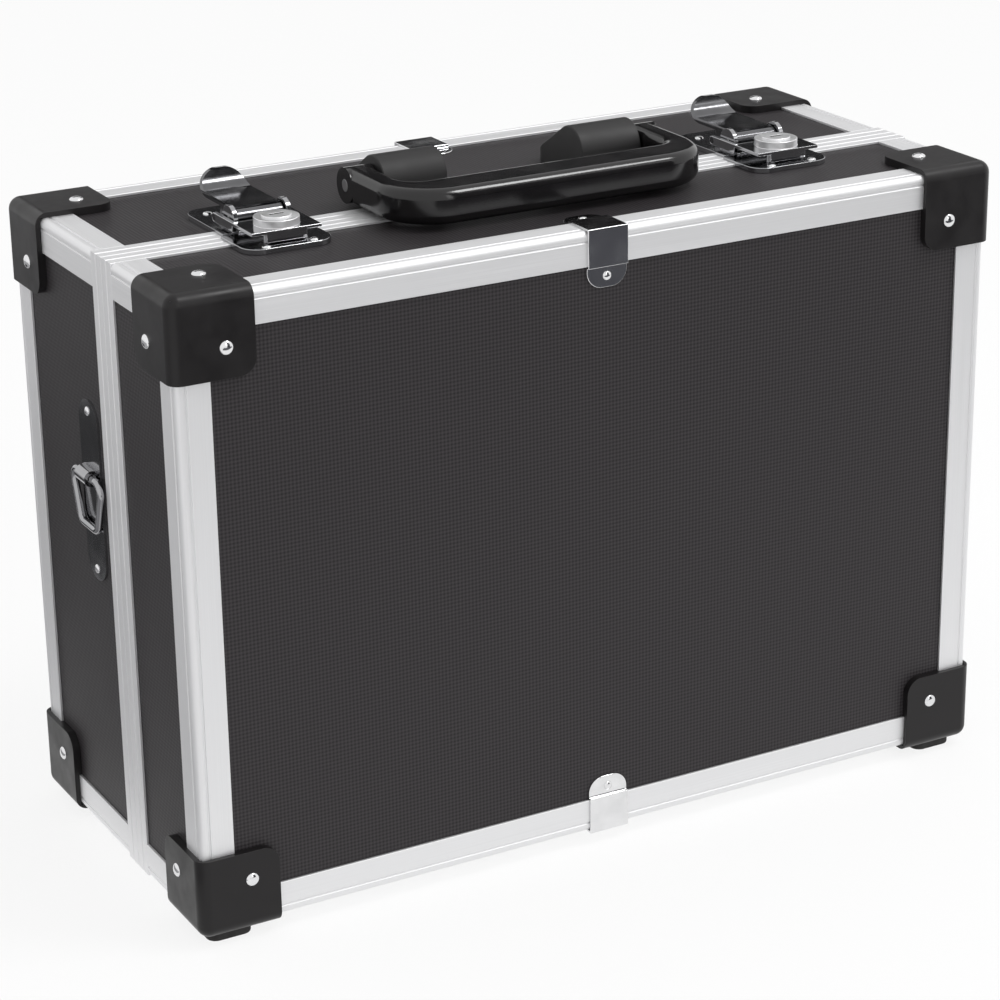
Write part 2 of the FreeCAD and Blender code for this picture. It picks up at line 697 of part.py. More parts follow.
def latch_lever():
    """Lever with a hub on the pin, a cross pin for the hook and a tail that curls up."""
    wide = LEVER_HALF_WIDTH
    centre = on_latch(-wide, LEVER_STRAIGHT, LEVER_TOP + LEVER_CURL_RADIUS)

    def on_curl(radius, turn):
        angle = math.radians(turn)
        return centre + Y * radius * math.sin(angle) - Z * radius * math.cos(angle)

    inside, outside = LEVER_CURL_RADIUS, LEVER_CURL_RADIUS + LEVER_SHEET
    turn = LEVER_CURL_ANGLE
    start = on_latch(-wide, LATCH_PIVOT_BACK, LEVER_TOP)
    section = outline(
        start, on_curl(inside, 0), (on_curl(inside, turn / 2), on_curl(inside, turn)),
        on_curl(outside, turn), (on_curl(outside, turn / 2), on_curl(outside, 0)), start - Z * LEVER_SHEET,
    )
    tip = on_curl(inside, turn).z
    front_view = block(centre.x, centre.x + 2 * wide, -REACH, REACH, 0, tip)
    corners = edges_along(front_view, Y, lambda p: p.z > tip - MARGIN)
    front_view = front_view.makeFillet(LEVER_TIP_RADIUS, corners)
    tail = prism(section, X * 2 * wide).common(front_view)
    lever = fused(
        tail,
        latch_block(-wide, wide, LATCH_PIVOT_BACK, LEVER_BLOCK_BACK, LEVER_BLOCK_BOTTOM, LEVER_TOP - MARGIN),
        latch_rod(LEVER_HUB_RADIUS, wide, LATCH_PIVOT_BACK, LATCH_PIVOT_UP),
        latch_rod(HOOK_PIN_RADIUS, HOOK_OUTER, HOOK_PIN_BACK, HOOK_PIN_UP),
    )
    return lever.cut(latch_rod(LATCH_PIN_RADIUS + RUNNING, REACH, LATCH_PIVOT_BACK, LATCH_PIVOT_UP))


def latch_hook():
    """Hook: two arms on the cross pin, a plate over the seam with a lock boss, and a turned-down lip."""
    plate = latch_block(-HOOK_OUTER, HOOK_OUTER, HOOK_FRONT, HOOK_REAR, HOOK_UNDER, HOOK_TOP)
    lip_low = LATCH_SHEET + HOOK_LIP_FLOAT
    lip = latch_block(
        -HOOK_LIP_HALF_WIDTH, HOOK_LIP_HALF_WIDTH, HOOK_FRONT, HOOK_FRONT + HOOK_SHEET, lip_low, HOOK_UNDER)
    seat = on_latch(0, LOCK_AT, HOOK_TOP)
    boss = rod(LOCK_BOSS_RADIUS, seat, seat + Z * LOCK_BOSS_HEIGHT)
    pieces = [lip, boss]
    for inner in (HOOK_ARM_INNER, -HOOK_OUTER):
        outer = inner + HOOK_ARM_SHEET
        pieces.append(latch_block(
            inner, outer, HOOK_REAR - MARGIN, HOOK_PIN_BACK, HOOK_TOP - 2 * HOOK_ARM_HALF_HEIGHT, HOOK_TOP))
        pieces.append(rod(
            HOOK_ARM_HALF_HEIGHT, on_latch(inner, HOOK_PIN_BACK, HOOK_PIN_UP),
            on_latch(outer, HOOK_PIN_BACK, HOOK_PIN_UP)))
    hook = fused(plate, *pieces)
    well = rod(LOCK_RADIUS + RUNNING, seat, seat + Z * (LOCK_BOSS_HEIGHT + MARGIN))
    return hook.cut([well, latch_rod(HOOK_PIN_RADIUS + RUNNING, REACH, HOOK_PIN_BACK, HOOK_PIN_UP)])


def lock_cylinder():
    """Cylinder in the hook's boss, with a blind slot for the key."""
    top = HOOK_TOP + RUNNING + LOCK_HEIGHT
    cylinder = rod(LOCK_RADIUS, on_latch(0, LOCK_AT, HOOK_TOP + RUNNING), on_latch(0, LOCK_AT, top))
    long, wide = KEY_SLOT_LENGTH / 2, KEY_SLOT_WIDTH / 2
    slot = latch_block(-long, long, LOCK_AT - wide, LOCK_AT + wide, top - KEY_SLOT_DEPTH, top + MARGIN)
    return cylinder.cut(slot)


def latch_strike():
    """Strike on the lid: a plate over the rim and the top wall, with a lip behind the hook's lip."""
    wide = STRIKE_HALF_WIDTH
    plate = latch_block(-wide, wide, STRIKE_FRONT, STRIKE_REAR, -PROFILE_WALL, LATCH_SHEET)
    ends = edges_along(plate, Z, lambda p: p.y < SEAM_Y + STRIKE_FRONT + MARGIN)
    plate = plate.makeFillet(STRIKE_END_RADIUS, ends)
    plate = plate.cut(latch_block(-wide, wide, -RIM_EDGE, STRIKE_REAR, -PROFILE_WALL, 0))
    lip_front = HOOK_FRONT + HOOK_SHEET + STRIKE_LIP_GAP
    lip = latch_block(
        -HOOK_LIP_HALF_WIDTH, HOOK_LIP_HALF_WIDTH, lip_front, lip_front + STRIKE_LIP_SHEET,
        LATCH_SHEET, HOOK_UNDER - STRIKE_LIP_BELOW_HOOK)
    return fused(plate, lip)


def strike_rivets():
    back = (STRIKE_FRONT + HOOK_FRONT) / 2
    return [small_rivet(on_latch(side * LEVER_HALF_WIDTH, back, LATCH_SHEET), Z) for side in (-1, 1)]


# Strap rings, drawn on the left side

STRAP_Y = BASE_RIM_BACK + STRAP_PLATE_BEHIND_RIM + STRAP_PLATE_WIDTH / 2
RING_OUT = STRAP_PLATE_SHEET + RING_CLEARANCE + RING_WIRE_RADIUS
RING_X = -PANEL_X - RING_OUT
RING_Z = STRAP_PLATE_MIDDLE + STRAP_HUMP_ABOVE_MIDDLE


def strap_plate():
    """Plate with round ends and a hump across it that holds the ring's bar."""
    half, long = STRAP_PLATE_WIDTH / 2, STRAP_PLATE_LENGTH / 2
    plate = block(
        -PANEL_X - STRAP_PLATE_SHEET, -PANEL_X, STRAP_Y - half, STRAP_Y + half,
        STRAP_PLATE_MIDDLE - long, STRAP_PLATE_MIDDLE + long)
    plate = plate.makeFillet(half - SET_IN, edges_along(plate, X))
    start = V(RING_X, STRAP_Y - STRAP_HUMP_LENGTH / 2, RING_Z)
    end = V(RING_X, STRAP_Y + STRAP_HUMP_LENGTH / 2, RING_Z)
    tunnel = RING_WIRE_RADIUS + RING_CLEARANCE
    hump = rod(tunnel + STRAP_HUMP_WALL, start, end)
    inside = block(-PANEL_X - STRAP_PLATE_SHEET, REACH, -REACH, REACH, -REACH, REACH)
    return fused(plate, hump.cut(inside)).cut(rod(tunnel, start - Y * MARGIN, end + Y * MARGIN))


def strap_rivets():
    reach = STRAP_PLATE_LENGTH / 2 - STRAP_PLATE_WIDTH / 4
    return [
        small_rivet(V(-PANEL_X - STRAP_PLATE_SHEET, STRAP_Y, STRAP_PLATE_MIDDLE + side * reach), -X)
        for side in (-1, 1)
    ]


def strap_ring():
    """A wire ring, wide at its bar and narrow at its foot, hanging down beside the plate."""
    def at(y, z):
        return V(RING_X, STRAP_Y + y, RING_Z + z)

    top, bottom, drop = RING_TOP_WIDTH / 2, RING_BOTTOM_WIDTH / 2, RING_DROP
    corners = [at(-top, 0), at(-bottom, -drop), at(bottom, -drop), at(top, 0)]
    middle = at(0, 0)
    edges = []
    here = middle
    for before, corner, after in zip([middle] + corners, corners, corners[1:] + [middle]):
        into, away = (before - corner).normalize(), (after - corner).normalize()
        half_angle = into.getAngle(away) / 2
        tangent = RING_BEND_RADIUS / math.tan(half_angle)
        bisector = (into + away).normalize()
        centre = corner + bisector * (RING_BEND_RADIUS / math.sin(half_angle))
        first, last = corner + into * tangent, corner + away * tangent
        edges.append(Part.LineSegment(here, first).toShape())
        edges.append(Part.Arc(first, centre - bisector * RING_BEND_RADIUS, last).toShape())
        here = last
    edges.append(Part.LineSegment(here, middle).toShape())
    section = Part.Wire(Part.Circle(middle, Y, RING_WIRE_RADIUS).toShape())
    return Part.Wire(edges).makePipeShell([section], True, False)


# Hinges

HINGE_Z = PROFILE_LOW - HINGE_DROP - HINGE_KNUCKLE_RADIUS


def knuckle_spans():
    """Ends along X of the left hinge's knuckles: the outer two on the base, the middle one on the lid."""
    third = HINGE_LENGTH / 3
    start = -HINGE_X - HINGE_LENGTH / 2
    gap = HINGE_KNUCKLE_GAP / 2
    return [(start + n * third + gap, start + (n + 1) * third - gap) for n in range(3)]


def hinge_leaf(side, spans):
    """A leaf under the rim: side is 1 on the base and -1 on the lid."""
    near, far = sorted((SEAM_Y + side * HINGE_LEAF_START, SEAM_Y + side * HINGE_LEAF_EDGE))
    half = HINGE_LENGTH / 2
    low = PROFILE_LOW - HINGE_LEAF_SHEET
    pieces = []
    for start, end in spans:
        y0, y1 = sorted((SEAM_Y, SEAM_Y + side * HINGE_LEAF_START))
        pieces.append(block(start, end, y0, y1, low, HINGE_Z + HINGE_KNUCKLE_RADIUS))
        pieces.append(rod(HINGE_KNUCKLE_RADIUS, V(start, SEAM_Y, HINGE_Z), V(end, SEAM_Y, HINGE_Z)))
    leaf = fused(block(-HINGE_X - half, -HINGE_X + half, near, far, low, PROFILE_LOW), *pieces)
    clearance = FIXED if side > 0 else RUNNING
    return leaf.cut(rod(HINGE_PIN_RADIUS + clearance, V(-REACH, SEAM_Y, HINGE_Z), V(REACH, SEAM_Y, HINGE_Z)))


def hinge_pin():
    start, end = knuckle_spans()[0][0], knuckle_spans()[2][1]
    return rod(HINGE_PIN_RADIUS, V(start, SEAM_Y, HINGE_Z), V(end, SEAM_Y, HINGE_Z))


def hinge_rivets(side):
    middle = SEAM_Y + side * (HINGE_LEAF_START + HINGE_LEAF_EDGE) / 2
    spread = HINGE_LENGTH / 3
    return [
        small_rivet(V(-HINGE_X + n * spread, middle, PROFILE_LOW - HINGE_LEAF_SHEET), -Z) for n in (-1, 0, 1)
    ]


# Instrument panel and what is set in it: distances behind the panel's face are positive

def deck_rod(radius, x, z, start, end):
    return rod(radius, V(x, DECK_FACE + start, z), V(x, DECK_FACE + end, z))


def deck_block(x, z, half_width, half_height, start, end):
    front, back = DECK_FACE + start, DECK_FACE + end
    return block(x - half_width, x + half_width, front, back, z - half_height, z + half_height)


METER_BODY_X = METER_WIDTH / 2 - METER_STEP
METER_BODY_Z = METER_HEIGHT / 2 - METER_STEP
SOCKETS = (
    [("octal", OCTAL_X, OCTAL_RADIUS)]
    + [("noval", x, NOVAL_RADIUS) for x in NOVAL_X]
    + [("miniature", x, MINIATURE_RADIUS) for x in MINIATURE_X]
)


def instrument_panel():
    half_x, half_z = INNER_X - DECK_CLEARANCE, (INNER_HIGH - INNER_LOW) / 2 - DECK_CLEARANCE
    deck = deck_block(0, MIDDLE_Z, half_x, half_z, 0, DECK_SHEET)
    holes = [deck_block(METER_X, METER_Z, METER_BODY_X + SET_IN, METER_BODY_Z + SET_IN, 0, DECK_SHEET)]
    holes += [deck_rod(BUSHING_RADIUS + SET_IN, x, KNOB_Z, 0, DECK_SHEET) for x in KNOB_X.values()]
    for _, x, radius in SOCKETS:
        holes.append(deck_rod(radius - SOCKET_FLANGE_LIP + SET_IN, x, SOCKET_Z, 0, DECK_SHEET))
    holes += [
        deck_rod(BUTTON_RADIUS + BUTTON_RING_WALL / 2 + SET_IN, BUTTON_X, BUTTON_Z, 0, DECK_SHEET),
        deck_rod(LAMP_LENS_RADIUS + SET_IN, LAMP_X, LAMP_Z, 0, DECK_SHEET),
        deck_rod(FUSE_RADIUS + SET_IN, FUSE_X, FUSE_Z, 0, DECK_SHEET),
        deck_block(
            ROCKER_X, ROCKER_Z, ROCKER_WIDTH / 2 + ROCKER_WALL + SET_IN,
            ROCKER_LENGTH / 2 + ROCKER_WALL + SET_IN, 0, DECK_SHEET),
        deck_block(
            INLET_X, INLET_Z, INLET_WIDTH / 2 + INLET_WALL + SET_IN,
            INLET_HEIGHT / 2 + INLET_WALL + SET_IN, 0, DECK_SHEET),
    ]
    return deck.cut(holes)


def panel_rails():
    """Four strips on the inner walls that the panel is screwed to."""
    low = block(-INNER_X, INNER_X, DECK_BACK, DECK_BACK + RAIL_SIZE, INNER_LOW, INNER_LOW + RAIL_SIZE)
    side = block(
        -INNER_X, RAIL_SIZE - INNER_X, DECK_BACK, DECK_BACK + RAIL_SIZE,
        INNER_LOW + RAIL_SIZE, INNER_HIGH - RAIL_SIZE)
    return low_and_high(low) + left_and_right(side)


def panel_screws():
    edge_x, edge_z = INNER_X - DECK_SCREW_INSET, INNER_HIGH - DECK_SCREW_INSET - MIDDLE_Z
    places = [(x, z) for x in (-edge_x, 0, edge_x) for z in (-edge_z, edge_z)] + [(-edge_x, 0), (edge_x, 0)]
    return [small_rivet(V(x, DECK_FACE, MIDDLE_Z + z), -Y) for x, z in places]


def meter_case():
    """Bezel in front of the panel and a body behind it, with a well for the dial."""
    bezel = deck_block(METER_X, METER_Z, METER_WIDTH / 2, METER_HEIGHT / 2, -METER_BEZEL, 0)
    bezel = bezel.makeFillet(METER_STEP, edges_along(bezel, Y))
    body = deck_block(METER_X, METER_Z, METER_BODY_X, METER_BODY_Z, 0, DECK_SHEET + METER_BODY)
    well = deck_block(
        METER_X, METER_Z, METER_WIDTH / 2 - METER_WALL, METER_HEIGHT / 2 - METER_WALL,
        -METER_BEZEL, -METER_FLOOR)
    bearing = deck_rod(
        NEEDLE_SHAFT_RADIUS + RUNNING, METER_X, METER_Z + NEEDLE_PIVOT_UP, -METER_FLOOR, NEEDLE_SHAFT_LENGTH)
    return fused(bezel, body).cut([well, bearing])


def meter_dial():
    half_x, half_z = METER_WIDTH / 2 - METER_WALL - SET_IN, METER_HEIGHT / 2 - METER_WALL - SET_IN
    dial = deck_block(METER_X, METER_Z, half_x, half_z, -METER_FLOOR - DIAL_SHEET, -METER_FLOOR)
    pivot_z = METER_Z + NEEDLE_PIVOT_UP
    return dial.cut(deck_rod(NEEDLE_SHAFT_RADIUS + RUNNING, METER_X, pivot_z, -METER_BEZEL, 0))


def meter_window():
    half_x, half_z = METER_WIDTH / 2 - METER_WALL - SET_IN, METER_HEIGHT / 2 - METER_WALL - SET_IN
    front = WINDOW_INSET - METER_BEZEL
    return deck_block(METER_X, METER_Z, half_x, half_z, front, front + WINDOW_SHEET)


def meter_needle():
    """Needle with a balancing tail on a shaft through the dial, at the end of its swing."""
    pivot_z = METER_Z + NEEDLE_PIVOT_UP
    back = -METER_FLOOR - DIAL_SHEET
    front = back - NEEDLE_ABOVE_DIAL - NEEDLE_SHEET
    face = DECK_FACE + front

    def strip(width, low, high):
        left, right = METER_X - width / 2, METER_X + width / 2
        return block(left, right, face, face + NEEDLE_SHEET, pivot_z + low, pivot_z + high)

    blade = fused(
        strip(NEEDLE_WIDTH, -NEEDLE_LENGTH, NEEDLE_TAIL_LENGTH),
        strip(NEEDLE_TAIL_WIDTH, NEEDLE_TAIL_LENGTH - NEEDLE_HUB_RADIUS, NEEDLE_TAIL_LENGTH))
    blade.rotate(V(METER_X, 0, pivot_z), Y, -NEEDLE_REST_ANGLE)
    hub = deck_rod(NEEDLE_HUB_RADIUS, METER_X, pivot_z, front, back - NEEDLE_ABOVE_DIAL / 2)
    shaft_end = NEEDLE_SHAFT_LENGTH - NEEDLE_ABOVE_DIAL / 2
    shaft = deck_rod(NEEDLE_SHAFT_RADIUS, METER_X, pivot_z, front, shaft_end)
    return fused(hub, blade, shaft)


def knob(x):
    """Pointer knob: a skirt, a bar across it whose narrow end is the pointer, and the switch's shaft."""
    base = -KNOB_FLOAT
    skirt = deck_rod(KNOB_RADIUS, x, KNOB_Z, base - KNOB_SKIRT, base)
    bar = deck_block(x, KNOB_Z, KNOB_BAR_WIDTH / 2, KNOB_RADIUS, base - KNOB_HEIGHT, base - KNOB_SKIRT / 2)
    tip = edges_along(bar, Y, lambda p: p.z < KNOB_Z)
    bar = bar.makeFillet(KNOB_BAR_WIDTH / 2 - SET_IN, tip)
    bar = bar.common(deck_rod(KNOB_RADIUS, x, KNOB_Z, -REACH, REACH))
    shaft = deck_rod(KNOB_SHAFT_RADIUS, x, KNOB_Z, base - KNOB_SKIRT, KNOB_SHAFT_LENGTH)
    return fused(skirt, bar, shaft)


def selector_switch(x):
    """Switch behind the panel, with a bushing through it for the knob's shaft."""
    body = deck_rod(SWITCH_RADIUS, x, KNOB_Z, DECK_SHEET, DECK_SHEET + SWITCH_LENGTH)
    bushing = deck_rod(BUSHING_RADIUS, x, KNOB_Z, 0, DECK_SHEET + MARGIN)
    bore = deck_rod(KNOB_SHAFT_RADIUS + RUNNING, x, KNOB_Z, -MARGIN, KNOB_SHAFT_LENGTH + MARGIN)
    return fused(body, bushing).cut(bore)


def pin_holes(x, circle, hole, count, places):
    """Contact holes on a circle that is divided into the given number of places."""
    holes = []
    for n in range(count):
        angle = 2 * math.pi * (n + 1) / places
        holes.append(deck_rod(
            hole, x + circle * math.sin(angle), SOCKET_Z - circle * math.cos(angle),
            -SOCKET_FLANGE, PIN_HOLE_DEPTH - SOCKET_FLANGE))
    return holes


def tube_socket(x, radius, holes):
    flange = deck_rod(radius, x, SOCKET_Z, -SOCKET_FLANGE, 0)
    body = deck_rod(radius - SOCKET_FLANGE_LIP, x, SOCKET_Z, 0, SOCKET_BODY)
    return fused(flange, body).cut(holes)


def octal_socket():
    holes = pin_holes(OCTAL_X, OCTAL_PIN_CIRCLE, OCTAL_PIN_HOLE, OCTAL_PINS, OCTAL_PLACES)
    key = deck_rod(OCTAL_KEY_RADIUS, OCTAL_X, SOCKET_Z, -SOCKET_FLANGE, SOCKET_BODY - SOCKET_FLANGE)
    return tube_socket(OCTAL_X, OCTAL_RADIUS, holes + [key])


def noval_sockets():
    sockets = []
    for x in NOVAL_X:
        holes = pin_holes(x, NOVAL_PIN_CIRCLE, SMALL_PIN_HOLE, NOVAL_PINS, NOVAL_PLACES)
        sockets.append(tube_socket(x, NOVAL_RADIUS, holes))
    return sockets


def miniature_sockets():
    sockets = []
    for x in MINIATURE_X:
        holes = pin_holes(x, MINIATURE_PIN_CIRCLE, SMALL_PIN_HOLE, MINIATURE_PINS, MINIATURE_PLACES)
        sockets.append(tube_socket(x, MINIATURE_RADIUS, holes))
    return sockets


def button_switch():
    ring = deck_rod(BUTTON_RADIUS + BUTTON_RING_WALL, BUTTON_X, BUTTON_Z, -BUTTON_RING, 0)
    body = deck_rod(BUTTON_RADIUS + BUTTON_RING_WALL / 2, BUTTON_X, BUTTON_Z, 0, BUTTON_BODY)
    well = deck_rod(BUTTON_RADIUS + SET_IN, BUTTON_X, BUTTON_Z, -BUTTON_RING, 2 * BUTTON_TRAVEL)
    return fused(ring, body).cut(well)


def test_button():
    button = deck_rod(BUTTON_RADIUS, BUTTON_X, BUTTON_Z, -BUTTON_PROUD, BUTTON_TRAVEL - MARGIN)
    front = [edge for edge in button.Edges if edge.BoundBox.YMax < DECK_FACE - BUTTON_PROUD + MARGIN / 2]
    return button.makeChamfer(MARGIN, front)


def rocker_frame():
    wide, long = ROCKER_WIDTH / 2, ROCKER_LENGTH / 2
    lip = ROCKER_WALL + ROCKER_LIP
    bezel = deck_block(ROCKER_X, ROCKER_Z, wide + lip, long + lip, -ROCKER_FRAME_HEIGHT, 0)
    body = deck_block(ROCKER_X, ROCKER_Z, wide + ROCKER_WALL, long + ROCKER_WALL, 0, ROCKER_BODY)
    well = deck_block(ROCKER_X, ROCKER_Z, wide, long, -ROCKER_FRAME_HEIGHT, ROCKER_BODY - ROCKER_WALL)
    pivot = V(ROCKER_X, DECK_FACE + ROCKER_PIVOT_IN, ROCKER_Z)
    reach = X * (wide + ROCKER_WALL - SET_IN)
    return fused(bezel, body).cut([well, rod(ROCKER_PIN_RADIUS + RUNNING, pivot - reach, pivot + reach)])


def power_rocker():
    """Rocker on two short pins, tipped to its off side."""
    wide = ROCKER_WIDTH / 2 - 2 * SET_IN
    long = ROCKER_LENGTH / 2 - ROCKER_END_GAP
    pivot = V(ROCKER_X, DECK_FACE + ROCKER_PIVOT_IN, ROCKER_Z)

    def at(out, z):
        return pivot + V(-wide, -out, z)

    tip = ROCKER_PIVOT_IN + ROCKER_FRAME_HEIGHT + ROCKER_PROUD_END
    dip = ROCKER_PIVOT_IN + ROCKER_FRAME_HEIGHT + ROCKER_PROUD_MIDDLE
    keel = ROCKER_LENGTH / 4
    section = outline(
        at(tip, -long), at(dip, 0), at(tip, long), at(0, long),
        at(-keel, keel), at(-keel, -keel), at(0, -long))
    reach = X * (wide + ROCKER_WALL)
    rocker = fused(prism(section, X * 2 * wide), rod(ROCKER_PIN_RADIUS, pivot - reach, pivot + reach))
    rocker.rotate(pivot, X, -ROCKER_TILT)
    return rocker


def pilot_lamp():
    bezel = deck_rod(LAMP_RADIUS, LAMP_X, LAMP_Z, -LAMP_BEZEL, 0)
    body = deck_rod(LAMP_LENS_RADIUS, LAMP_X, LAMP_Z, 0, LAMP_BODY)
    lens = Part.makeSphere(LAMP_LENS_RADIUS, V(LAMP_X, DECK_FACE - LAMP_BEZEL, LAMP_Z))
    return fused(bezel, body, lens)


def fuse_holder():
    flange = deck_rod(FUSE_FLANGE_RADIUS, FUSE_X, FUSE_Z, -FUSE_FLANGE, 0)
    cap = Part.makeCone(
        FUSE_RADIUS, FUSE_RADIUS - MARGIN, FUSE_HEIGHT, V(FUSE_X, DECK_FACE - FUSE_FLANGE, FUSE_Z), -Y)
    body = deck_rod(FUSE_RADIUS, FUSE_X, FUSE_Z, 0, FUSE_BODY)
    return fused(flange, cap, body)


def mains_inlet():
    """Three-blade inlet in a flange."""
    flange = deck_block(INLET_X, INLET_Z, INLET_FLANGE_WIDTH / 2, INLET_FLANGE_HEIGHT / 2, -INLET_FLANGE, 0)
    flange = flange.makeFillet(INLET_WALL, edges_along(flange, Y))
    half_x, half_z = INLET_WIDTH / 2, INLET_HEIGHT / 2
    back = INLET_DEPTH + INLET_FLOOR
    body = deck_block(INLET_X, INLET_Z, half_x + INLET_WALL, half_z + INLET_WALL, 0, back)
    well = deck_block(INLET_X, INLET_Z, half_x, half_z, -INLET_FLANGE, INLET_DEPTH)
    shell = fused(flange, body).cut(well)
    thin, broad = INLET_BLADE_SIZE[0] / 2, INLET_BLADE_SIZE[1] / 2
    blades = []
    for x, z in ((-INLET_BLADE_SPREAD, 0), (0, INLET_EARTH_UP), (INLET_BLADE_SPREAD, 0)):
        tip = INLET_DEPTH - INLET_BLADE
        blades.append(deck_block(INLET_X + x, INLET_Z + z, thin, broad, tip, INLET_DEPTH))
    return fused(shell, *blades)


# Inside the base

def transformer_core():
    """Stack of sheets with two windows, in a clamp that stands on the back panel."""
    back = INNER_Y - CORE_STANDOFF
    front = back - CORE_STACK
    half_x, half_z = CORE_WIDTH / 2, CORE_HEIGHT / 2
    core = block(CORE_X - half_x, CORE_X + half_x, front, back, CORE_Z - half_z, CORE_Z + half_z)
    core = core.cut(transformer_windows(front, back))
    clamp = []
    for side in (-1, 1):
        x0, x1 = sorted((side * half_x, side * (half_x + FRAME_SHEET)))
        f0, f1 = sorted((side * half_x, side * (half_x + FRAME_FOOT)))
        clamp.append(block(CORE_X + x0, CORE_X + x1, front, INNER_Y, CORE_Z - half_z, CORE_Z + half_z))
        clamp.append(block(
            CORE_X + f0, CORE_X + f1, INNER_Y - FRAME_SHEET, INNER_Y, CORE_Z - half_z, CORE_Z + half_z))
    return fused(core, *clamp)


def transformer_windows(front, back):
    windows = []
    half_z = CORE_HEIGHT / 2 - CORE_LEG
    for side in (-1, 1):
        x0, x1 = sorted((side * CORE_LEG, side * (CORE_WIDTH / 2 - CORE_LEG)))
        windows.append(block(CORE_X + x0, CORE_X + x1, front, back, CORE_Z - half_z, CORE_Z + half_z))
    return windows


def transformer_windings():
    """Coil round the middle leg of the core, filling both windows."""
    back = INNER_Y - CORE_STANDOFF
    front = back - CORE_STACK
    half_x, half_z = CORE_WIDTH / 2 - CORE_LEG, CORE_HEIGHT / 2 - CORE_LEG
    coil = block(
        CORE_X - half_x, CORE_X + half_x, front - WINDING_OVERHANG, back + WINDING_OVERHANG,
        CORE_Z - half_z, CORE_Z + half_z)
    coil = coil.makeFillet(WINDING_OVERHANG - MARGIN, edges_along(coil, Z))
    leg = block(CORE_X - CORE_LEG, CORE_X + CORE_LEG, front, back, CORE_Z - half_z, CORE_Z + half_z)
    return coil.cut(leg)


def circuit_board():
    back = INNER_Y - STANDOFF_HEIGHT
    half_x, half_z = BOARD_WIDTH / 2, BOARD_HEIGHT / 2
    front = back - BOARD_SHEET
    return block(BOARD_X - half_x, BOARD_X + half_x, front, back, BOARD_Z - half_z, BOARD_Z + half_z)


def board_standoffs():
    far_x, far_z = BOARD_WIDTH / 2 - STANDOFF_INSET, BOARD_HEIGHT / 2 - STANDOFF_INSET
    feet = [V(BOARD_X + x, INNER_Y, BOARD_Z + z) for x in (-far_x, far_x) for z in (-far_z, far_z)]
    return [rod(STANDOFF_RADIUS, seat - Y * STANDOFF_HEIGHT, seat) for seat in feet]


def lid_foam():
    gap = FOAM_CLEARANCE
    return block(
        gap - INNER_X, INNER_X - gap, -INNER_Y, FOAM_THICKNESS - INNER_Y, INNER_LOW + gap, INNER_HIGH - gap)


def both_sides(*shapes):
    return [copy for shape in shapes for copy in left_and_right(shape)]


def build():
    """Every node of the part by name, each a list of solids."""
    cap, pad = corner_cap(), foot()
    clip = edge_clip()
    spans = knuckle_spans()
    outer_spans, middle_span = [spans[0], spans[2]], [spans[1]]
    nodes = {
        "base_back_panel": to_base([face_panel()]),
        "base_wall_panels": to_base(wall_panels(BASE_DEPTH)),
        "base_back_edge_profiles": to_base(face_profiles()),
        "base_depth_edge_profiles": to_base(depth_profiles(BASE_DEPTH)),
        "base_rim_profiles": to_base(rim_profiles(BASE_DEPTH, "tongue", "plain")),
        "base_corners": to_base(at_corners(cap)),
        "base_feet": to_base(left_and_right(pad)),
        "base_edge_clips": to_base(low_and_high(clip)),
        "base_rivets": to_base(half_rivets()) + both_sides(
            *latch_base_rivets(), *strap_rivets(), *hinge_rivets(1), *bracket_screws()),
        "handle_brackets": left_and_right(handle_bracket()),
        "handle_grip": [handle_grip()],
        "pivot_pins": both_sides(handle_pin(), latch_pin(), hinge_pin()),
        "latch_base_plates": left_and_right(latch_base_plate()),
        "latch_strikes": left_and_right(latch_strike()),
        "strap_plates": left_and_right(strap_plate()),
        "hinge_base_leaves": left_and_right(hinge_leaf(1, outer_spans)),
        "hinge_lid_leaves": left_and_right(hinge_leaf(-1, middle_span)),
        "lid_front_panel": [face_panel()],
        "lid_wall_panels": wall_panels(LID_DEPTH),
        "lid_front_edge_profiles": face_profiles(),
        "lid_depth_edge_profiles": depth_profiles(LID_DEPTH),
        "lid_rim_profiles": rim_profiles(LID_DEPTH, "groove", "groove"),
        "lid_corners": at_corners(cap),
        "lid_feet": left_and_right(pad),
        "lid_edge_clips": low_and_high(clip),
        "lid_rivets": half_rivets() + both_sides(*strike_rivets(), *hinge_rivets(-1)),
        "lid_foam": [lid_foam()],
        "instrument_panel": [instrument_panel()],
        "panel_rails": panel_rails(),
        "panel_screws": panel_screws(),
        "meter_case": [meter_case()],
        "meter_dial": [meter_dial()],
        "meter_window": [meter_window()],
        "meter_needle": [meter_needle()],
        "selector_switches": [selector_switch(x) for x in KNOB_X.values()],
        "octal_socket": [octal_socket()],
        "noval_sockets": noval_sockets(),
        "miniature_sockets": miniature_sockets(),
        "button_switch": [button_switch()],
        "test_button": [test_button()],
        "rocker_frame": [rocker_frame()],
        "power_rocker": [power_rocker()],
        "pilot_lamp": [pilot_lamp()],
        "fuse_holder": [fuse_holder()],
        "mains_inlet": [mains_inlet()],
        "transformer_core": [transformer_core()],
        "transformer_windings": [transformer_windings()],
        "circuit_board": [circuit_board()],
        "board_standoffs": board_standoffs(),
    }
    for name, x in KNOB_X.items():
        nodes[name] = [knob(x)]
    moving_pairs = {
        "latch_lever": latch_lever(),
        "latch_hook": latch_hook(),
        "lock_cylinder": lock_cylinder(),
        "strap_ring": strap_ring(),
    }
    for name, left in moving_pairs.items():
        for side, shape in zip(("left", "right"), left_and_right(left)):
            nodes[f"{name}_{side}"] = [shape]
    return nodes


os.makedirs("parts", exist_ok=True)
for node, shapes in build().items():
    group(shapes).exportStep(f"parts/{node}.step")
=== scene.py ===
import json
import math

import bmesh
import bpy
import numpy as np
from mathutils import Matrix, Vector


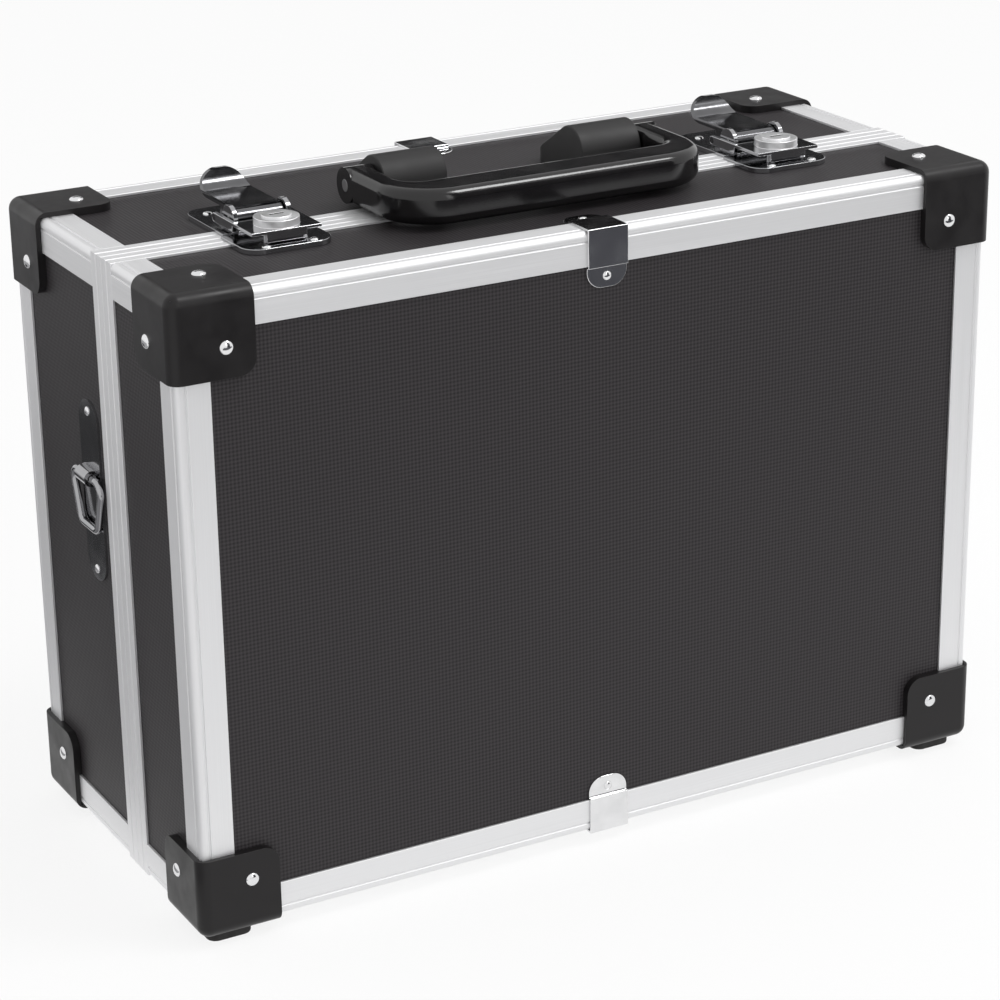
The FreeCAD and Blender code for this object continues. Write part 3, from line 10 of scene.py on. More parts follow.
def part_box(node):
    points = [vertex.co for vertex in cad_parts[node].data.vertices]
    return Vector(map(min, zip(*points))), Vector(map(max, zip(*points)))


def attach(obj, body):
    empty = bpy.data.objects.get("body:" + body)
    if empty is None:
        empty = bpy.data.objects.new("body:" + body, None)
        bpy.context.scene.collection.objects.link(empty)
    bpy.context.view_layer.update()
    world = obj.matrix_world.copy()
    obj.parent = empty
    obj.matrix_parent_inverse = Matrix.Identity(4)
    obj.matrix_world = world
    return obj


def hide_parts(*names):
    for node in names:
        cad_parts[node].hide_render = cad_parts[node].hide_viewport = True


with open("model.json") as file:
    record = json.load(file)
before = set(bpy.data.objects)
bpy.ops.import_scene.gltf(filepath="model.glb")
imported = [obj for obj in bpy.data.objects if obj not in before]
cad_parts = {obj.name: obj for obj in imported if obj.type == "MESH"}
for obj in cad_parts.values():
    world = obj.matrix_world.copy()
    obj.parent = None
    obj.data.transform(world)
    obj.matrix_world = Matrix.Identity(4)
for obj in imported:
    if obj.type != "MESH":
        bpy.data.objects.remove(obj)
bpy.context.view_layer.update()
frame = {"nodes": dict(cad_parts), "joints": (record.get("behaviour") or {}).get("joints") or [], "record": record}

MM = 0.001
BODY_OF = {node: body for body, nodes in frame["record"]["behaviour"]["bodies"].items() for node in nodes}

# The camera stands where the photograph's perspective puts it: place in metres, then its right, up and back
CAMERA_PLACE = Vector((-0.66907, -1.21693, 0.67595))
CAMERA_RIGHT = Vector((0.87523, -0.48349, -0.01445))
CAMERA_UP = Vector((0.18409, 0.30531, 0.93429))
CAMERA_BACK = Vector((-0.44731, -0.82038, 0.35623))
CAMERA_LENS = 107.771
CAMERA_SENSOR = 36.0

# Light from all round, where the background's white is 1, the share of it that shows through the floor,
# and the floor's size in metres
ROOM_LIGHT = 0.75
FLOOR_CLEAR = 0.85
FLOOR_SIZE = 12.0

# Real sizes of the surface patterns, in millimetres
LATTICE_PITCH = 2.6
LATTICE_RELIEF = 0.12
EXTRUSION_LINE = 0.5
HAMMER_PITCH = 3.5
MOULD_GRAIN = 0.7
ORANGE_PEEL = 2.2
FOAM_PITCH = 26.0
FOAM_PEAK = 5.0
FOAM_STEP = 2.6
FOAM_RIM = 4.0
FOAM_PORE = 1.6
LAMINATION = 1.2
COIL_WIRE = 1.2
PRINT_THICKNESS = 0.05

# How the CAD's shapes are joined, shaded and eased: a distance in metres, angles in degrees, and counts
WELD_DISTANCE = 1e-6
FLAT_ANGLE = 0.4
SHARP_ANGLE = 32
FOAM_SHARP_ANGLE = 50
EASED_ANGLE = 38
EASED_SEGMENTS = 2
DOME_SEGMENTS = 20
DOME_RINGS = 10

# How near the hook's top its collar reaches, in millimetres, and the slot's share of the lock's radius
COLLAR_TOP = 0.1
KEY_SLOT_SHARE = 0.9

# The dial and the panel read from the hinge side: for the person in front, up is -Z and right is -X
READER_RIGHT = Vector((-1, 0, 0))
READER_UP = Vector((0, 0, -1))
READER_NEAR = Vector((0, -1, 0))

# The meter's scale, in degrees and millimetres; a stroke is its width and its length
DIAL_SWING = 42.0
DIAL_STEPS = 50
DIAL_LONG_EVERY = 5
DIAL_LONG_TICK = (0.5, 5.0)
DIAL_SHORT_TICK = (0.3, 3.0)
DIAL_TICK_RADIUS = 46.0
DIAL_FIGURE_STEPS = 5
DIAL_FIGURE_RADIUS = 56.0
DIAL_FIGURE_HEIGHT = 3.6
BAND_STEPS = 60
BAND_STROKES = 25
BAND_STROKE = (1.2, 3.0)
BAND_RADIUS = 42.0

# The knobs' scales and the other prints on the panel
KNOB_SWING = 150.0
KNOB_STEPS = 10
KNOB_TICK = (0.8, 4.0)
KNOB_TICK_RADIUS = 21.5
KNOB_FIGURE_RADIUS = 28.0
KNOB_FIGURE_HEIGHT = 4.0
POINTER_STROKE = (1.4, 12.0)
POINTER_RADIUS = 9.5
SCREW_SLOT = (0.7, 3.4)
SCREW_SLOT_TURN = 35
SWITCH_WORD_HEIGHT = 4.2
SWITCH_WORD_GAP = 6.0

# The height of the font's capitals as a share of its size, and the wave texture's repeat at a scale of 1
CAPITAL_SHARE = 0.7
WAVE_REPEAT = 0.314


def tint(code, alpha=1.0):
    """A colour written as an sRGB hex value, in linear light."""
    parts = [int(code[i:i + 2], 16) / 255 for i in (1, 3, 5)]
    return tuple(c / 12.92 if c <= 0.04045 else ((c + 0.055) / 1.055) ** 2.4 for c in parts) + (alpha,)


def add(tree, kind, values=(), wires=(), **settings):
    """Adds a node with its properties as settings, its constant inputs as values and its feeds as wires."""
    node = tree.nodes.new(kind)
    for key, value in settings.items():
        setattr(node, key, value)
    for key, value in dict(values).items():
        node.inputs[key].default_value = value
    for key, socket in dict(wires).items():
        tree.links.new(socket, node.inputs[key])
    return node


def surface(name, colour, roughness, metallic=0.0, **sockets):
    """A material with its constant values on the shader's own sockets."""
    material = bpy.data.materials.new(name)
    material.use_nodes = True
    tree = material.node_tree
    shader = tree.nodes["Principled BSDF"]
    shader.inputs["Base Color"].default_value = tint(colour)
    shader.inputs["Roughness"].default_value = roughness
    shader.inputs["Metallic"].default_value = metallic
    for key, value in sockets.items():
        shader.inputs[key.replace("_", " ")].default_value = value
    return material, tree, shader


def uneven(tree, shader, coordinates, size, low, high, dark=None, light=None, stretch=(1, 1, 1)):
    """Roughness, and colour where two tints are given, that drift over patches of a size in millimetres."""
    place = add(tree, "ShaderNodeMapping", values={"Scale": stretch}, wires={"Vector": coordinates})
    patches = add(
        tree, "ShaderNodeTexNoise", values={"Scale": 1 / (size * MM), "Detail": 3.0},
        wires={"Vector": place.outputs[0]})
    rough = add(
        tree, "ShaderNodeMapRange",
        values={"From Min": 0.3, "From Max": 0.7, "To Min": low, "To Max": high},
        wires={"Value": patches.outputs[0]})
    tree.links.new(rough.outputs[0], shader.inputs["Roughness"])
    if dark:
        mixed = add(
            tree, "ShaderNodeMix", data_type="RGBA", values={6: tint(dark), 7: tint(light)},
            wires={0: patches.outputs[0]})
        tree.links.new(mixed.outputs[2], shader.inputs["Base Color"])
    return patches.outputs[0]


def relief(tree, shader, height, depth, strength=1.0):
    """Bump from a height field of a depth in millimetres."""
    bump = add(
        tree, "ShaderNodeBump", values={"Strength": strength, "Distance": depth * MM},
        wires={"Height": height})
    tree.links.new(bump.outputs[0], shader.inputs["Normal"])


def embossed_laminate():
    """Plastic laminate pressed with a fine slanting lattice: a matt charcoal with a sheen at low angles."""
    material, tree, shader = surface("embossed_laminate", "#2b282a", 0.5, Specular_IOR_Level=0.25)
    across = add(tree, "ShaderNodeTexCoord").outputs["UV"]
    turn = 2 * math.pi / (LATTICE_PITCH * MM)
    slanted = add(
        tree, "ShaderNodeMapping",
        values={"Rotation": (0, 0, math.radians(45)), "Scale": (turn, turn, turn)}, wires={"Vector": across})
    waves = add(tree, "ShaderNodeVectorMath", operation="SINE", wires={0: slanted.outputs[0]})
    split = add(tree, "ShaderNodeSeparateXYZ", wires={0: waves.outputs[0]})
    studs = add(
        tree, "ShaderNodeMath", operation="MULTIPLY", wires={0: split.outputs[0], 1: split.outputs[1]})
    level = add(
        tree, "ShaderNodeMapRange", values={"From Min": -1.0, "From Max": 1.0},
        wires={"Value": studs.outputs[0]})
    # The lattice's raised studs are painted lighter and the hollows between them darker: a painted highlight and
    # painted shade that follow the relief.
    shade = add(
        tree, "ShaderNodeMix", data_type="RGBA", values={6: tint("#1a1719"), 7: tint("#3a3739")},
        wires={0: level.outputs[0]})
    uneven(tree, shader, across, 60.0, 0.46, 0.5)
    tree.links.new(shade.outputs[2], shader.inputs["Base Color"])
    relief(tree, shader, level.outputs[0], LATTICE_RELIEF, 0.7)
    return material


def satin_aluminium():
    """Anodised extrusion: a pale grey metal with faint die lines along its length."""
    material, tree, shader = surface("satin_aluminium", "#e6e6e7", 0.58, 1.0)
    along = add(tree, "ShaderNodeTexCoord").outputs["UV"]
    lines = uneven(tree, shader, along, EXTRUSION_LINE, 0.52, 0.64, "#dededf", "#eeeeef", (0.004, 1.0, 1.0))
    relief(tree, shader, lines, 0.02, 0.35)
    return material


def corner_enamel():
    """Pressed steel corners under black stoving enamel: semi-gloss, a little orange peel, handled patches."""
    material, tree, shader = surface("corner_enamel", "#161415", 0.36, Specular_IOR_Level=0.3)
    place = add(tree, "ShaderNodeTexCoord").outputs["Object"]
    uneven(tree, shader, place, 14.0, 0.3, 0.44, "#121011", "#1b191a")
    peel = add(tree, "ShaderNodeTexNoise", values={"Scale": 1 / (ORANGE_PEEL * MM)}, wires={"Vector": place})
    relief(tree, shader, peel.outputs[0], 0.05, 0.3)
    return material


def worked_metal(name, patch, dark, light, smooth, dull):
    """Bare or plated metal whose tint and polish drift over patches of a size in millimetres."""
    material, tree, shader = surface(name, light, smooth, 1.0)
    place = add(tree, "ShaderNodeTexCoord").outputs["Object"]
    uneven(tree, shader, place, patch, smooth, dull, dark, light)
    return material


def handle_moulding(name, worn, new):
    """Injection-moulded black plastic: a very fine grain, with patches from worn to new in roughness."""
    material, tree, shader = surface(name, "#0f0d0e", new, Specular_IOR_Level=0.5)
    place = add(tree, "ShaderNodeTexCoord").outputs["Object"]
    uneven(tree, shader, place, 22.0, worn, new, "#0b0a0b", "#141213")
    grain = add(tree, "ShaderNodeTexNoise", values={"Scale": 1 / (MOULD_GRAIN * MM)}, wires={"Vector": place})
    relief(tree, shader, grain.outputs[0], 0.04, 0.25)
    return material


def foot_rubber():
    """Moulded rubber pads: matt black with dusty patches."""
    material, tree, shader = surface("foot_rubber", "#1b1a1a", 0.75)
    place = add(tree, "ShaderNodeTexCoord").outputs["Object"]
    grain = uneven(tree, shader, place, 3.0, 0.65, 0.85, "#171616", "#282626")
    relief(tree, shader, grain, 0.1, 0.3)
    return material


def hammered_enamel():
    """Hammer-finish enamel on the instrument panel: grey-green dimples with a soft gloss."""
    material, tree, shader = surface("hammered_enamel", "#6c7371", 0.4)
    place = add(tree, "ShaderNodeTexCoord").outputs["Object"]
    dimples = add(
        tree, "ShaderNodeTexVoronoi", feature="SMOOTH_F1", values={"Scale": 1 / (HAMMER_PITCH * MM)},
        wires={"Vector": place})
    # The dimples are painted darker in their hollows and lighter towards their rims: painted shade that follows
    # the hammered relief.
    shade = add(
        tree, "ShaderNodeMix", data_type="RGBA", values={6: tint("#626967"), 7: tint("#7d8482")},
        wires={0: dimples.outputs["Distance"]})
    uneven(tree, shader, place, 20.0, 0.32, 0.46)
    tree.links.new(shade.outputs[2], shader.inputs["Base Color"])
    relief(tree, shader, dimples.outputs["Distance"], 0.25, 0.4)
    return material


def black_phenolic():
    """Moulded black phenolic of knobs, meter and switches: glossy, a touch brown where thumbed."""
    material, tree, shader = surface("black_phenolic", "#191717", 0.24, Coat_Weight=0.2)
    place = add(tree, "ShaderNodeTexCoord").outputs["Object"]
    uneven(tree, shader, place, 8.0, 0.18, 0.34, "#151313", "#221e1c")
    return material


def brown_phenolic():
    """Mottled brown phenolic of the tube sockets: flow marks of the moulding powder."""
    material, tree, shader = surface("brown_phenolic", "#4a2a1a", 0.3)
    place = add(tree, "ShaderNodeTexCoord").outputs["Object"]
    uneven(tree, shader, place, 4.0, 0.24, 0.4, "#34190d", "#5d3822")
    return material


def dial_card():
    """Matt printed card behind the meter's glass: ivory with a faint paper tooth."""
    material, tree, shader = surface("dial_card", "#ece6d2", 0.8)
    place = add(tree, "ShaderNodeTexCoord").outputs["Object"]
    tooth = uneven(tree, shader, place, 1.5, 0.72, 0.86, "#e6dfc8", "#f1ecdc")
    relief(tree, shader, tooth, 0.02, 0.3)
    return material


def window_glass():
    """Thin flat glass over the dial, clear with faint wiping marks."""
    material, tree, shader = surface("window_glass", "#f6fbfa", 0.03, Transmission_Weight=1.0, IOR=1.45)
    place = add(tree, "ShaderNodeTexCoord").outputs["Object"]
    uneven(tree, shader, place, 30.0, 0.01, 0.06)
    return material


def red_moulding():
    """Cellulose red of the button and the lamp's lens: glossy, darker in its depth."""
    material, tree, shader = surface("red_moulding", "#9c1f1a", 0.22, Coat_Weight=0.3)
    place = add(tree, "ShaderNodeTexCoord").outputs["Object"]
    uneven(tree, shader, place, 6.0, 0.16, 0.3, "#8a1813", "#ad2a22")
    return material


def softwood():
    """Planed softwood rails: pale strips with a straight grain."""
    material, tree, shader = surface("softwood", "#b08a5c", 0.6)
    place = add(tree, "ShaderNodeTexCoord").outputs["UV"]
    grain = uneven(tree, shader, place, 2.0, 0.52, 0.7, "#96703f", "#c39d6c", (0.03, 1.0, 1.0))
    relief(tree, shader, grain, 0.1, 0.3)
    return material


def varnished_laminations():
    """Edges of the transformer's iron sheets under varnish: dark stripes a sheet apart."""
    material, tree, shader = surface("varnished_laminations", "#3a3634", 0.45, 0.6)
    place = add(tree, "ShaderNodeTexCoord").outputs["Object"]
    sheets = add(
        tree, "ShaderNodeTexWave", bands_direction="Y", values={"Scale": WAVE_REPEAT / (LAMINATION * MM)},
        wires={"Vector": place})
    uneven(tree, shader, place, 10.0, 0.38, 0.55, "#2c2927", "#47423f")
    relief(tree, shader, sheets.outputs[0], 0.2, 0.5)
    return material


def wound_coil():
    """Varnished copper coil under paper tape: amber, with the turns showing through."""
    material, tree, shader = surface("wound_coil", "#8a5426", 0.4)
    place = add(tree, "ShaderNodeTexCoord").outputs["Object"]
    turns = add(
        tree, "ShaderNodeTexWave", bands_direction="Z", values={"Scale": WAVE_REPEAT / (COIL_WIRE * MM)},
        wires={"Vector": place})
    uneven(tree, shader, place, 7.0, 0.34, 0.5, "#74421a", "#a0672f")
    relief(tree, shader, turns.outputs[0], 0.3, 0.6)
    return material


def board_phenolic():
    """Paper-phenolic board: brown with a faint weave of fibres."""
    material, tree, shader = surface("board_phenolic", "#7a4f27", 0.5)
    place = add(tree, "ShaderNodeTexCoord").outputs["Object"]
    uneven(tree, shader, place, 2.5, 0.42, 0.6, "#6c431f", "#88592f", (1.0, 1.0, 0.2))
    return material


def lining_foam():
    """Open-cell foam lining: dark grey, fully matt, with fine pores."""
    material, tree, shader = surface("lining_foam", "#3d3d40", 0.95)
    place = add(tree, "ShaderNodeTexCoord").outputs["Object"]
    pores = add(tree, "ShaderNodeTexVoronoi", values={"Scale": 1 / (FOAM_PORE * MM)}, wires={"Vector": place})
    uneven(tree, shader, place, 12.0, 0.88, 1.0, "#353538", "#45454a")
    relief(tree, shader, pores.outputs["Distance"], 0.4, 0.6)
    return material


def print_ink(name, colour):
    """Screen-printed ink: flat colour, slightly uneven in its gloss."""
    material, tree, shader = surface(name, colour, 0.55)
    uneven(tree, shader, add(tree, "ShaderNodeTexCoord").outputs["Object"], 3.0, 0.48, 0.64)
    return material


laminate = embossed_laminate()
aluminium = satin_aluminium()
enamel = corner_enamel()
nickel = worked_metal("bright_nickel", 9.0, "#d8d8d9", "#f0f0f1", 0.06, 0.16)
satin_nickel = worked_metal("satin_nickel", 9.0, "#dcdcdd", "#f4f4f5", 0.34, 0.44)
plated = worked_metal("plated_steel", 9.0, "#9c9c9e", "#acacae", 0.07, 0.13)
# The lever steel is painted far darker than the plates' steel: a painted dark reflection on the lever tails, not a
# finish of its own.
reflection_darkened = worked_metal("reflection_darkened_steel", 9.0, "#606062", "#747476", 0.1, 0.18)
steel = worked_metal("turned_steel", 6.0, "#949495", "#b2b2b3", 0.28, 0.45)
grip_plastic = handle_moulding("grip_moulding", 0.13, 0.19)
bracket_plastic = handle_moulding("bracket_moulding", 0.52, 0.62)
rubber = foot_rubber()
panel_paint = hammered_enamel()
phenolic = black_phenolic()
socket_phenolic = brown_phenolic()
card = dial_card()
glass = window_glass()
red = red_moulding()
wood = softwood()
iron = varnished_laminations()
copper = wound_coil()
board = board_phenolic()
foam = lining_foam()
# Black ink prints the dial and colours the needle. It also paints shade into the key slots, and the dark strokes
# that stand for the screw slots.
black_ink_and_slot_shade = print_ink("black_ink_and_slot_shade", "#1a1a1a")
white_ink = print_ink("white_ink", "#e9e9e4")
red_ink = print_ink("red_ink", "#a8241c")
green_ink = print_ink("green_ink", "#2f7a3c")


def islands(mesh_form):
    """The separate solids of a bmesh, each as a set of its faces."""
    left = set(mesh_form.faces)
    while left:
        found = {left.pop()}
        waiting = list(found)
        while waiting:
            face = waiting.pop()
            for edge in face.edges:
                for other in edge.link_faces:
                    if other in left:
                        left.discard(other)
                        found.add(other)
                        waiting.append(other)
        yield found


def welded(node):
    """A copy of a node's shape with its triangles joined, its flat faces whole and touching solids apart."""
    form = bmesh.new()
    form.from_mesh(frame["nodes"][node].data)
    bmesh.ops.remove_doubles(form, verts=form.verts, dist=WELD_DISTANCE)
    bmesh.ops.split_edges(form, edges=[edge for edge in form.edges if len(edge.link_faces) > 2])
    bmesh.ops.dissolve_limit(form, angle_limit=math.radians(FLAT_ANGLE), verts=form.verts, edges=form.edges)
    form.normal_update()
    return form


def lay_pattern(form, lengthwise):
    """UVs in metres: flat on each face, or along and across each length where the pattern follows it."""
    layer = form.loops.layers.uv.new("pattern")
    for faces in islands(form):
        points = np.array([v.co for face in faces for v in face.verts])
        longest = int(np.argmax(np.ptp(points, axis=0)))
        for face in faces:
            facing = max(range(3), key=lambda axis: abs(face.normal[axis]))
            flat = [axis for axis in range(3) if axis != facing]
            for loop in face.loops:
                place = loop.vert.co
                if lengthwise:
                    loop[layer].uv = (place[longest], sum(place) - place[longest])
                else:
                    loop[layer].uv = (place[flat[0]], place[flat[1]])


def shown(name, form, material, body):
    """A finished piece from a bmesh, riding on its body."""
    mesh = bpy.data.meshes.new(name)
    form.to_mesh(mesh)
    form.free()
    return shown_mesh(name, mesh, material, body)


def shown_mesh(name, mesh, material, body):
    """A finished piece from a mesh, riding on its body; without a material it keeps the mesh's own."""
    mesh.name = name
    if material:
        mesh.materials.clear()
        mesh.materials.append(material)
    piece = bpy.data.objects.new(name, mesh)
    bpy.context.scene.collection.objects.link(piece)
    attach(piece, body)
    return piece


def dressed(node, material, edge, lengthwise):
    """Stands in for a CAD node: the same shape with eased edges, even shading and its finish."""
    form = welded(node)
    lay_pattern(form, lengthwise)
    piece = shown(f"{node}_dressed", form, material, BODY_OF[node])
    stale = piece.data.attributes.get("custom_normal")
    if stale:
        piece.data.attributes.remove(stale)
    piece.data.shade_smooth()
    piece.data.set_sharp_from_angle(angle=math.radians(SHARP_ANGLE))
    if edge:
        ease = piece.modifiers.new("eased_edges", "BEVEL")
        ease.width = edge * MM
        ease.segments = EASED_SEGMENTS
        ease.limit_method = "ANGLE"
        ease.angle_limit = math.radians(EASED_ANGLE)
        ease.use_clamp_overlap = True
    even = piece.modifiers.new("even_shading", "WEIGHTED_NORMAL")
    even.keep_sharp = True
    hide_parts(node)
    return piece


# Each node's finish, the width its edges are eased to in millimetres, and whether its pattern runs lengthwise
FINISHES = [
    (laminate, 0.0, False, ["base_back_panel", "base_wall_panels", "lid_front_panel", "lid_wall_panels"]),
    (aluminium, 0.22, True, [
        "base_back_edge_profiles", "base_depth_edge_profiles", "base_rim_profiles",
        "lid_front_edge_profiles", "lid_depth_edge_profiles", "lid_rim_profiles"]),
    (enamel, 0.5, False, ["base_corners", "lid_corners"]),
    (rubber, 0.8, False, ["base_feet", "lid_feet"]),
    (nickel, 0.25, False, ["base_edge_clips", "lid_edge_clips"]),
    (plated, 0.25, False, [
        "latch_base_plates", "latch_strikes", "strap_plates", "hinge_base_leaves", "hinge_lid_leaves",
        "latch_hook_left", "latch_hook_right", "strap_ring_left", "strap_ring_right", "button_switch"]),
    # The levers take the darkened steel: painted dark reflection on their tails
    (reflection_darkened, 0.25, False, ["latch_lever_left", "latch_lever_right"]),
    (satin_nickel, 0.25, False, ["lock_cylinder_left", "lock_cylinder_right"]),
    (grip_plastic, 0.0, False, ["handle_grip"]),
    (bracket_plastic, 0.6, False, ["handle_brackets"]),
    (steel, 0.2, False, ["pivot_pins", "selector_switches", "board_standoffs"]),
    (panel_paint, 0.2, False, ["instrument_panel"]),
    (wood, 0.4, True, ["panel_rails"]),
    (phenolic, 0.5, False, [
        "meter_case", "filament_knob", "bias_knob", "function_knob", "power_rocker", "rocker_frame",
        "fuse_holder", "mains_inlet"]),
    (card, 0.0, False, ["meter_dial"]),
    (glass, 0.1, False, ["meter_window"]),
    (black_ink_and_slot_shade, 0.05, False, ["meter_needle"]),
    (socket_phenolic, 0.3, False, ["octal_socket", "noval_sockets", "miniature_sockets"]),
    (red, 0.3, False, ["test_button", "pilot_lamp"]),
    (iron, 0.2, False, ["transformer_core"]),
    (copper, 0.3, False, ["transformer_windings"]),
    (board, 0.1, False, ["circuit_board"]),
]
for finish, edge, lengthwise, nodes in FINISHES:
    for node in nodes:
        dressed(node, finish, edge, lengthwise)


def refinish(node, material, belongs):
    """Gives the faces of a piece whose corners belong to a feature a finish of their own."""
    mesh = bpy.data.objects[f"{node}_dressed"].data
    mesh.materials.append(material)
    for face in mesh.polygons:
        if belongs([mesh.vertices[index].co for index in face.vertices]):
            face.material_index = 1


# The hook's collar round the lock is as bright as the lock, and the key's slot is painted black: painted shade
# inside the slot
for side in ("left", "right"):
    below_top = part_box(f"latch_hook_{side}")[1].z - COLLAR_TOP * MM
    lock_low, lock_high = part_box(f"lock_cylinder_{side}")
    lock_axis = ((lock_low + lock_high) / 2).xy
    slot_reach = KEY_SLOT_SHARE * (lock_high.x - lock_low.x) / 2
    refinish(
        f"latch_hook_{side}", satin_nickel,
        lambda corners: any(corner.z > below_top for corner in corners))
    refinish(
        f"lock_cylinder_{side}", black_ink_and_slot_shade,
        lambda corners: all((corner.xy - lock_axis).length < slot_reach for corner in corners))


def grown(name, tree, points, attributes, body, sizes):
    """Runs a Geometry Nodes tree on placed points and keeps the result as a plain mesh on a body."""
    seeds = bpy.data.meshes.new(f"{name}_places")
    seeds.from_pydata([tuple(p) for p in points], [], [])
    for key, (kind, values) in attributes.items():
        layer = seeds.attributes.new(key, kind, "POINT")
        flat = np.asarray(values, dtype=np.float32).ravel()
        layer.data.foreach_set("vector" if kind == "FLOAT_VECTOR" else "value", flat)
    holder = bpy.data.objects.new(f"{name}_holder", seeds)
    bpy.context.scene.collection.objects.link(holder)
    grow = holder.modifiers.new("grow", "NODES")
    grow.node_group = tree
    for item in tree.interface.items_tree:
        if item.in_out == "INPUT" and item.name in sizes:
            grow[item.identifier] = sizes[item.name]
    bpy.context.view_layer.update()
    mesh = bpy.data.meshes.new_from_object(holder.evaluated_get(bpy.context.evaluated_depsgraph_get()))
    holder.modifiers.remove(grow)
    bpy.data.objects.remove(holder)
    return shown_mesh(name, mesh, None, body)


def new_tree(name, inputs):
    """An empty Geometry Nodes tree with a geometry socket in and out and the named inputs."""
    tree = bpy.data.node_groups.new(name, "GeometryNodeTree")
    tree.interface.new_socket("Geometry", in_out="INPUT", socket_type="NodeSocketGeometry")
    for label, kind in inputs:
        tree.interface.new_socket(label, in_out="INPUT", socket_type=kind)
    tree.interface.new_socket("Geometry", in_out="OUTPUT", socket_type="NodeSocketGeometry")
    return tree


def close_tree(tree, geometry, material):
    """Ends a tree: instances become real and take their finish."""
    real = add(tree, "GeometryNodeRealizeInstances", wires={0: geometry})
    coloured = add(tree, "GeometryNodeSetMaterial", wires={"Geometry": real.outputs[0], "Material": material})
    add(tree, "NodeGroupOutput", wires={0: coloured.outputs[0]})


def dome_tree():
    """Domed heads on points that carry the way they face, their radius and their height."""
    tree = new_tree("domed_heads", [("Segments", "NodeSocketInt"), ("Finish", "NodeSocketMaterial")])
    source = add(tree, "NodeGroupInput")
    ball = add(
        tree, "GeometryNodeMeshUVSphere", values={"Rings": DOME_RINGS, "Radius": 1.0},
        wires={"Segments": source.outputs["Segments"]})
    soft = add(tree, "GeometryNodeSetShadeSmooth", wires={"Geometry": ball.outputs["Mesh"]})
    facing = add(tree, "GeometryNodeInputNamedAttribute", data_type="FLOAT_VECTOR", values={"Name": "facing"})
    size = add(tree, "GeometryNodeInputNamedAttribute", data_type="FLOAT_VECTOR", values={"Name": "size"})
    turn = add(tree, "FunctionNodeAlignRotationToVector", axis="Z", wires={"Vector": facing.outputs[0]})
    heads = add(
        tree, "GeometryNodeInstanceOnPoints",
        wires={"Points": source.outputs["Geometry"], "Instance": soft.outputs[0], "Rotation": turn.outputs[0],
               "Scale": size.outputs[0]})
    close_tree(tree, heads.outputs[0], source.outputs["Finish"])
    return tree


def mark_tree():
    """Thin printed strokes on points that carry their turn about Y and their length and width."""
    tree = new_tree("printed_strokes", [("Thickness", "NodeSocketFloat"), ("Ink", "NodeSocketMaterial")])
    source = add(tree, "NodeGroupInput")
    extent = add(
        tree, "ShaderNodeCombineXYZ", values={"X": 1.0, "Z": 1.0}, wires={"Y": source.outputs["Thickness"]})
    stroke = add(tree, "GeometryNodeMeshCube", wires={"Size": extent.outputs[0]})
    turn = add(tree, "GeometryNodeInputNamedAttribute", data_type="FLOAT_VECTOR", values={"Name": "turn"})
    size = add(tree, "GeometryNodeInputNamedAttribute", data_type="FLOAT_VECTOR", values={"Name": "size"})
    turned = add(tree, "FunctionNodeEulerToRotation", wires={0: turn.outputs[0]})
    marks = add(
        tree, "GeometryNodeInstanceOnPoints",
        wires={"Points": source.outputs["Geometry"], "Instance": stroke.outputs["Mesh"],
               "Rotation": turned.outputs[0], "Scale": size.outputs[0]})
    close_tree(tree, marks.outputs[0], source.outputs["Ink"])
    return tree


DOMES = dome_tree()
STROKES = mark_tree()


def domed_heads(node, material):
    """Rivet or screw heads with a full dome, each on the seat of the CAD's plain head."""
    form = welded(node)
    seats, facings, sizes = [], [], []
    for faces in islands(form):
        points = np.array([list(v.co) for v in {v for face in faces for v in face.verts}])
        middle = points.mean(axis=0)
        axis = np.linalg.svd(points - middle)[2][2]
        along = (points - middle) @ axis
        away = np.linalg.norm(points - middle - np.outer(along, axis), axis=1)
        if away[along > 0].mean() > away[along < 0].mean():
            axis, along = -axis, -along
        seats.append(middle + axis * along.min())
        facings.append(axis)
        sizes.append((away.max(), away.max(), np.ptp(along)))
    form.free()
    piece = grown(
        f"{node}_domes", DOMES, seats, {"facing": ("FLOAT_VECTOR", facings), "size": ("FLOAT_VECTOR", sizes)},
        BODY_OF[node], {"Segments": DOME_SEGMENTS, "Finish": material})
    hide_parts(node)
    return [Vector(seat) for seat in seats], sizes


domed_heads("base_rivets", nickel)
domed_heads("lid_rivets", nickel)
screw_seats, screw_sizes = domed_heads("panel_screws", nickel)


def strokes(name, places, turns, sizes, ink, body):
    """Printed strokes: each has a middle, a turn about Y in degrees and (width, length) in millimetres."""
    piece = grown(
        name, STROKES, places,
        {"turn": ("FLOAT_VECTOR", [(0, math.radians(t), 0) for t in turns]),
         "size": ("FLOAT_VECTOR", [(w * MM, 1.0, h * MM) for w, h in sizes])},
        body, {"Thickness": PRINT_THICKNESS * MM, "Ink": ink})
    return piece


def on_circle(middle, radius, swing):
    """A point on a circle in the panel's plane, swung from the reader's up towards the reader's right."""
    angle = math.radians(swing)
    return middle + (READER_UP * math.cos(angle) + READER_RIGHT * math.sin(angle)) * radius * MM


def words(name, text, middle, height, ink, body):
    """Flat printed figures that face the reader."""
    curve = bpy.data.curves.new(name, "FONT")
    curve.body = text
    curve.size = height * MM / CAPITAL_SHARE
    curve.align_x = "CENTER"
    curve.align_y = "CENTER"
    curve.resolution_u = 3
    holder = bpy.data.objects.new(f"{name}_holder", curve)
    bpy.context.scene.collection.objects.link(holder)
    bpy.context.view_layer.update()
    mesh = bpy.data.meshes.new_from_object(holder.evaluated_get(bpy.context.evaluated_depsgraph_get()))
    bpy.data.objects.remove(holder)
    stand = Matrix((READER_RIGHT, READER_UP, READER_NEAR)).transposed().to_4x4()
    stand.translation = middle
    mesh.transform(stand)
    piece = shown_mesh(name, mesh, ink, body)
    return piece


def spread(reach, steps):
    """Swings in degrees from one end of a scale to the other, in equal steps."""
    return [reach * (2 * n / steps - 1) for n in range(steps + 1)]


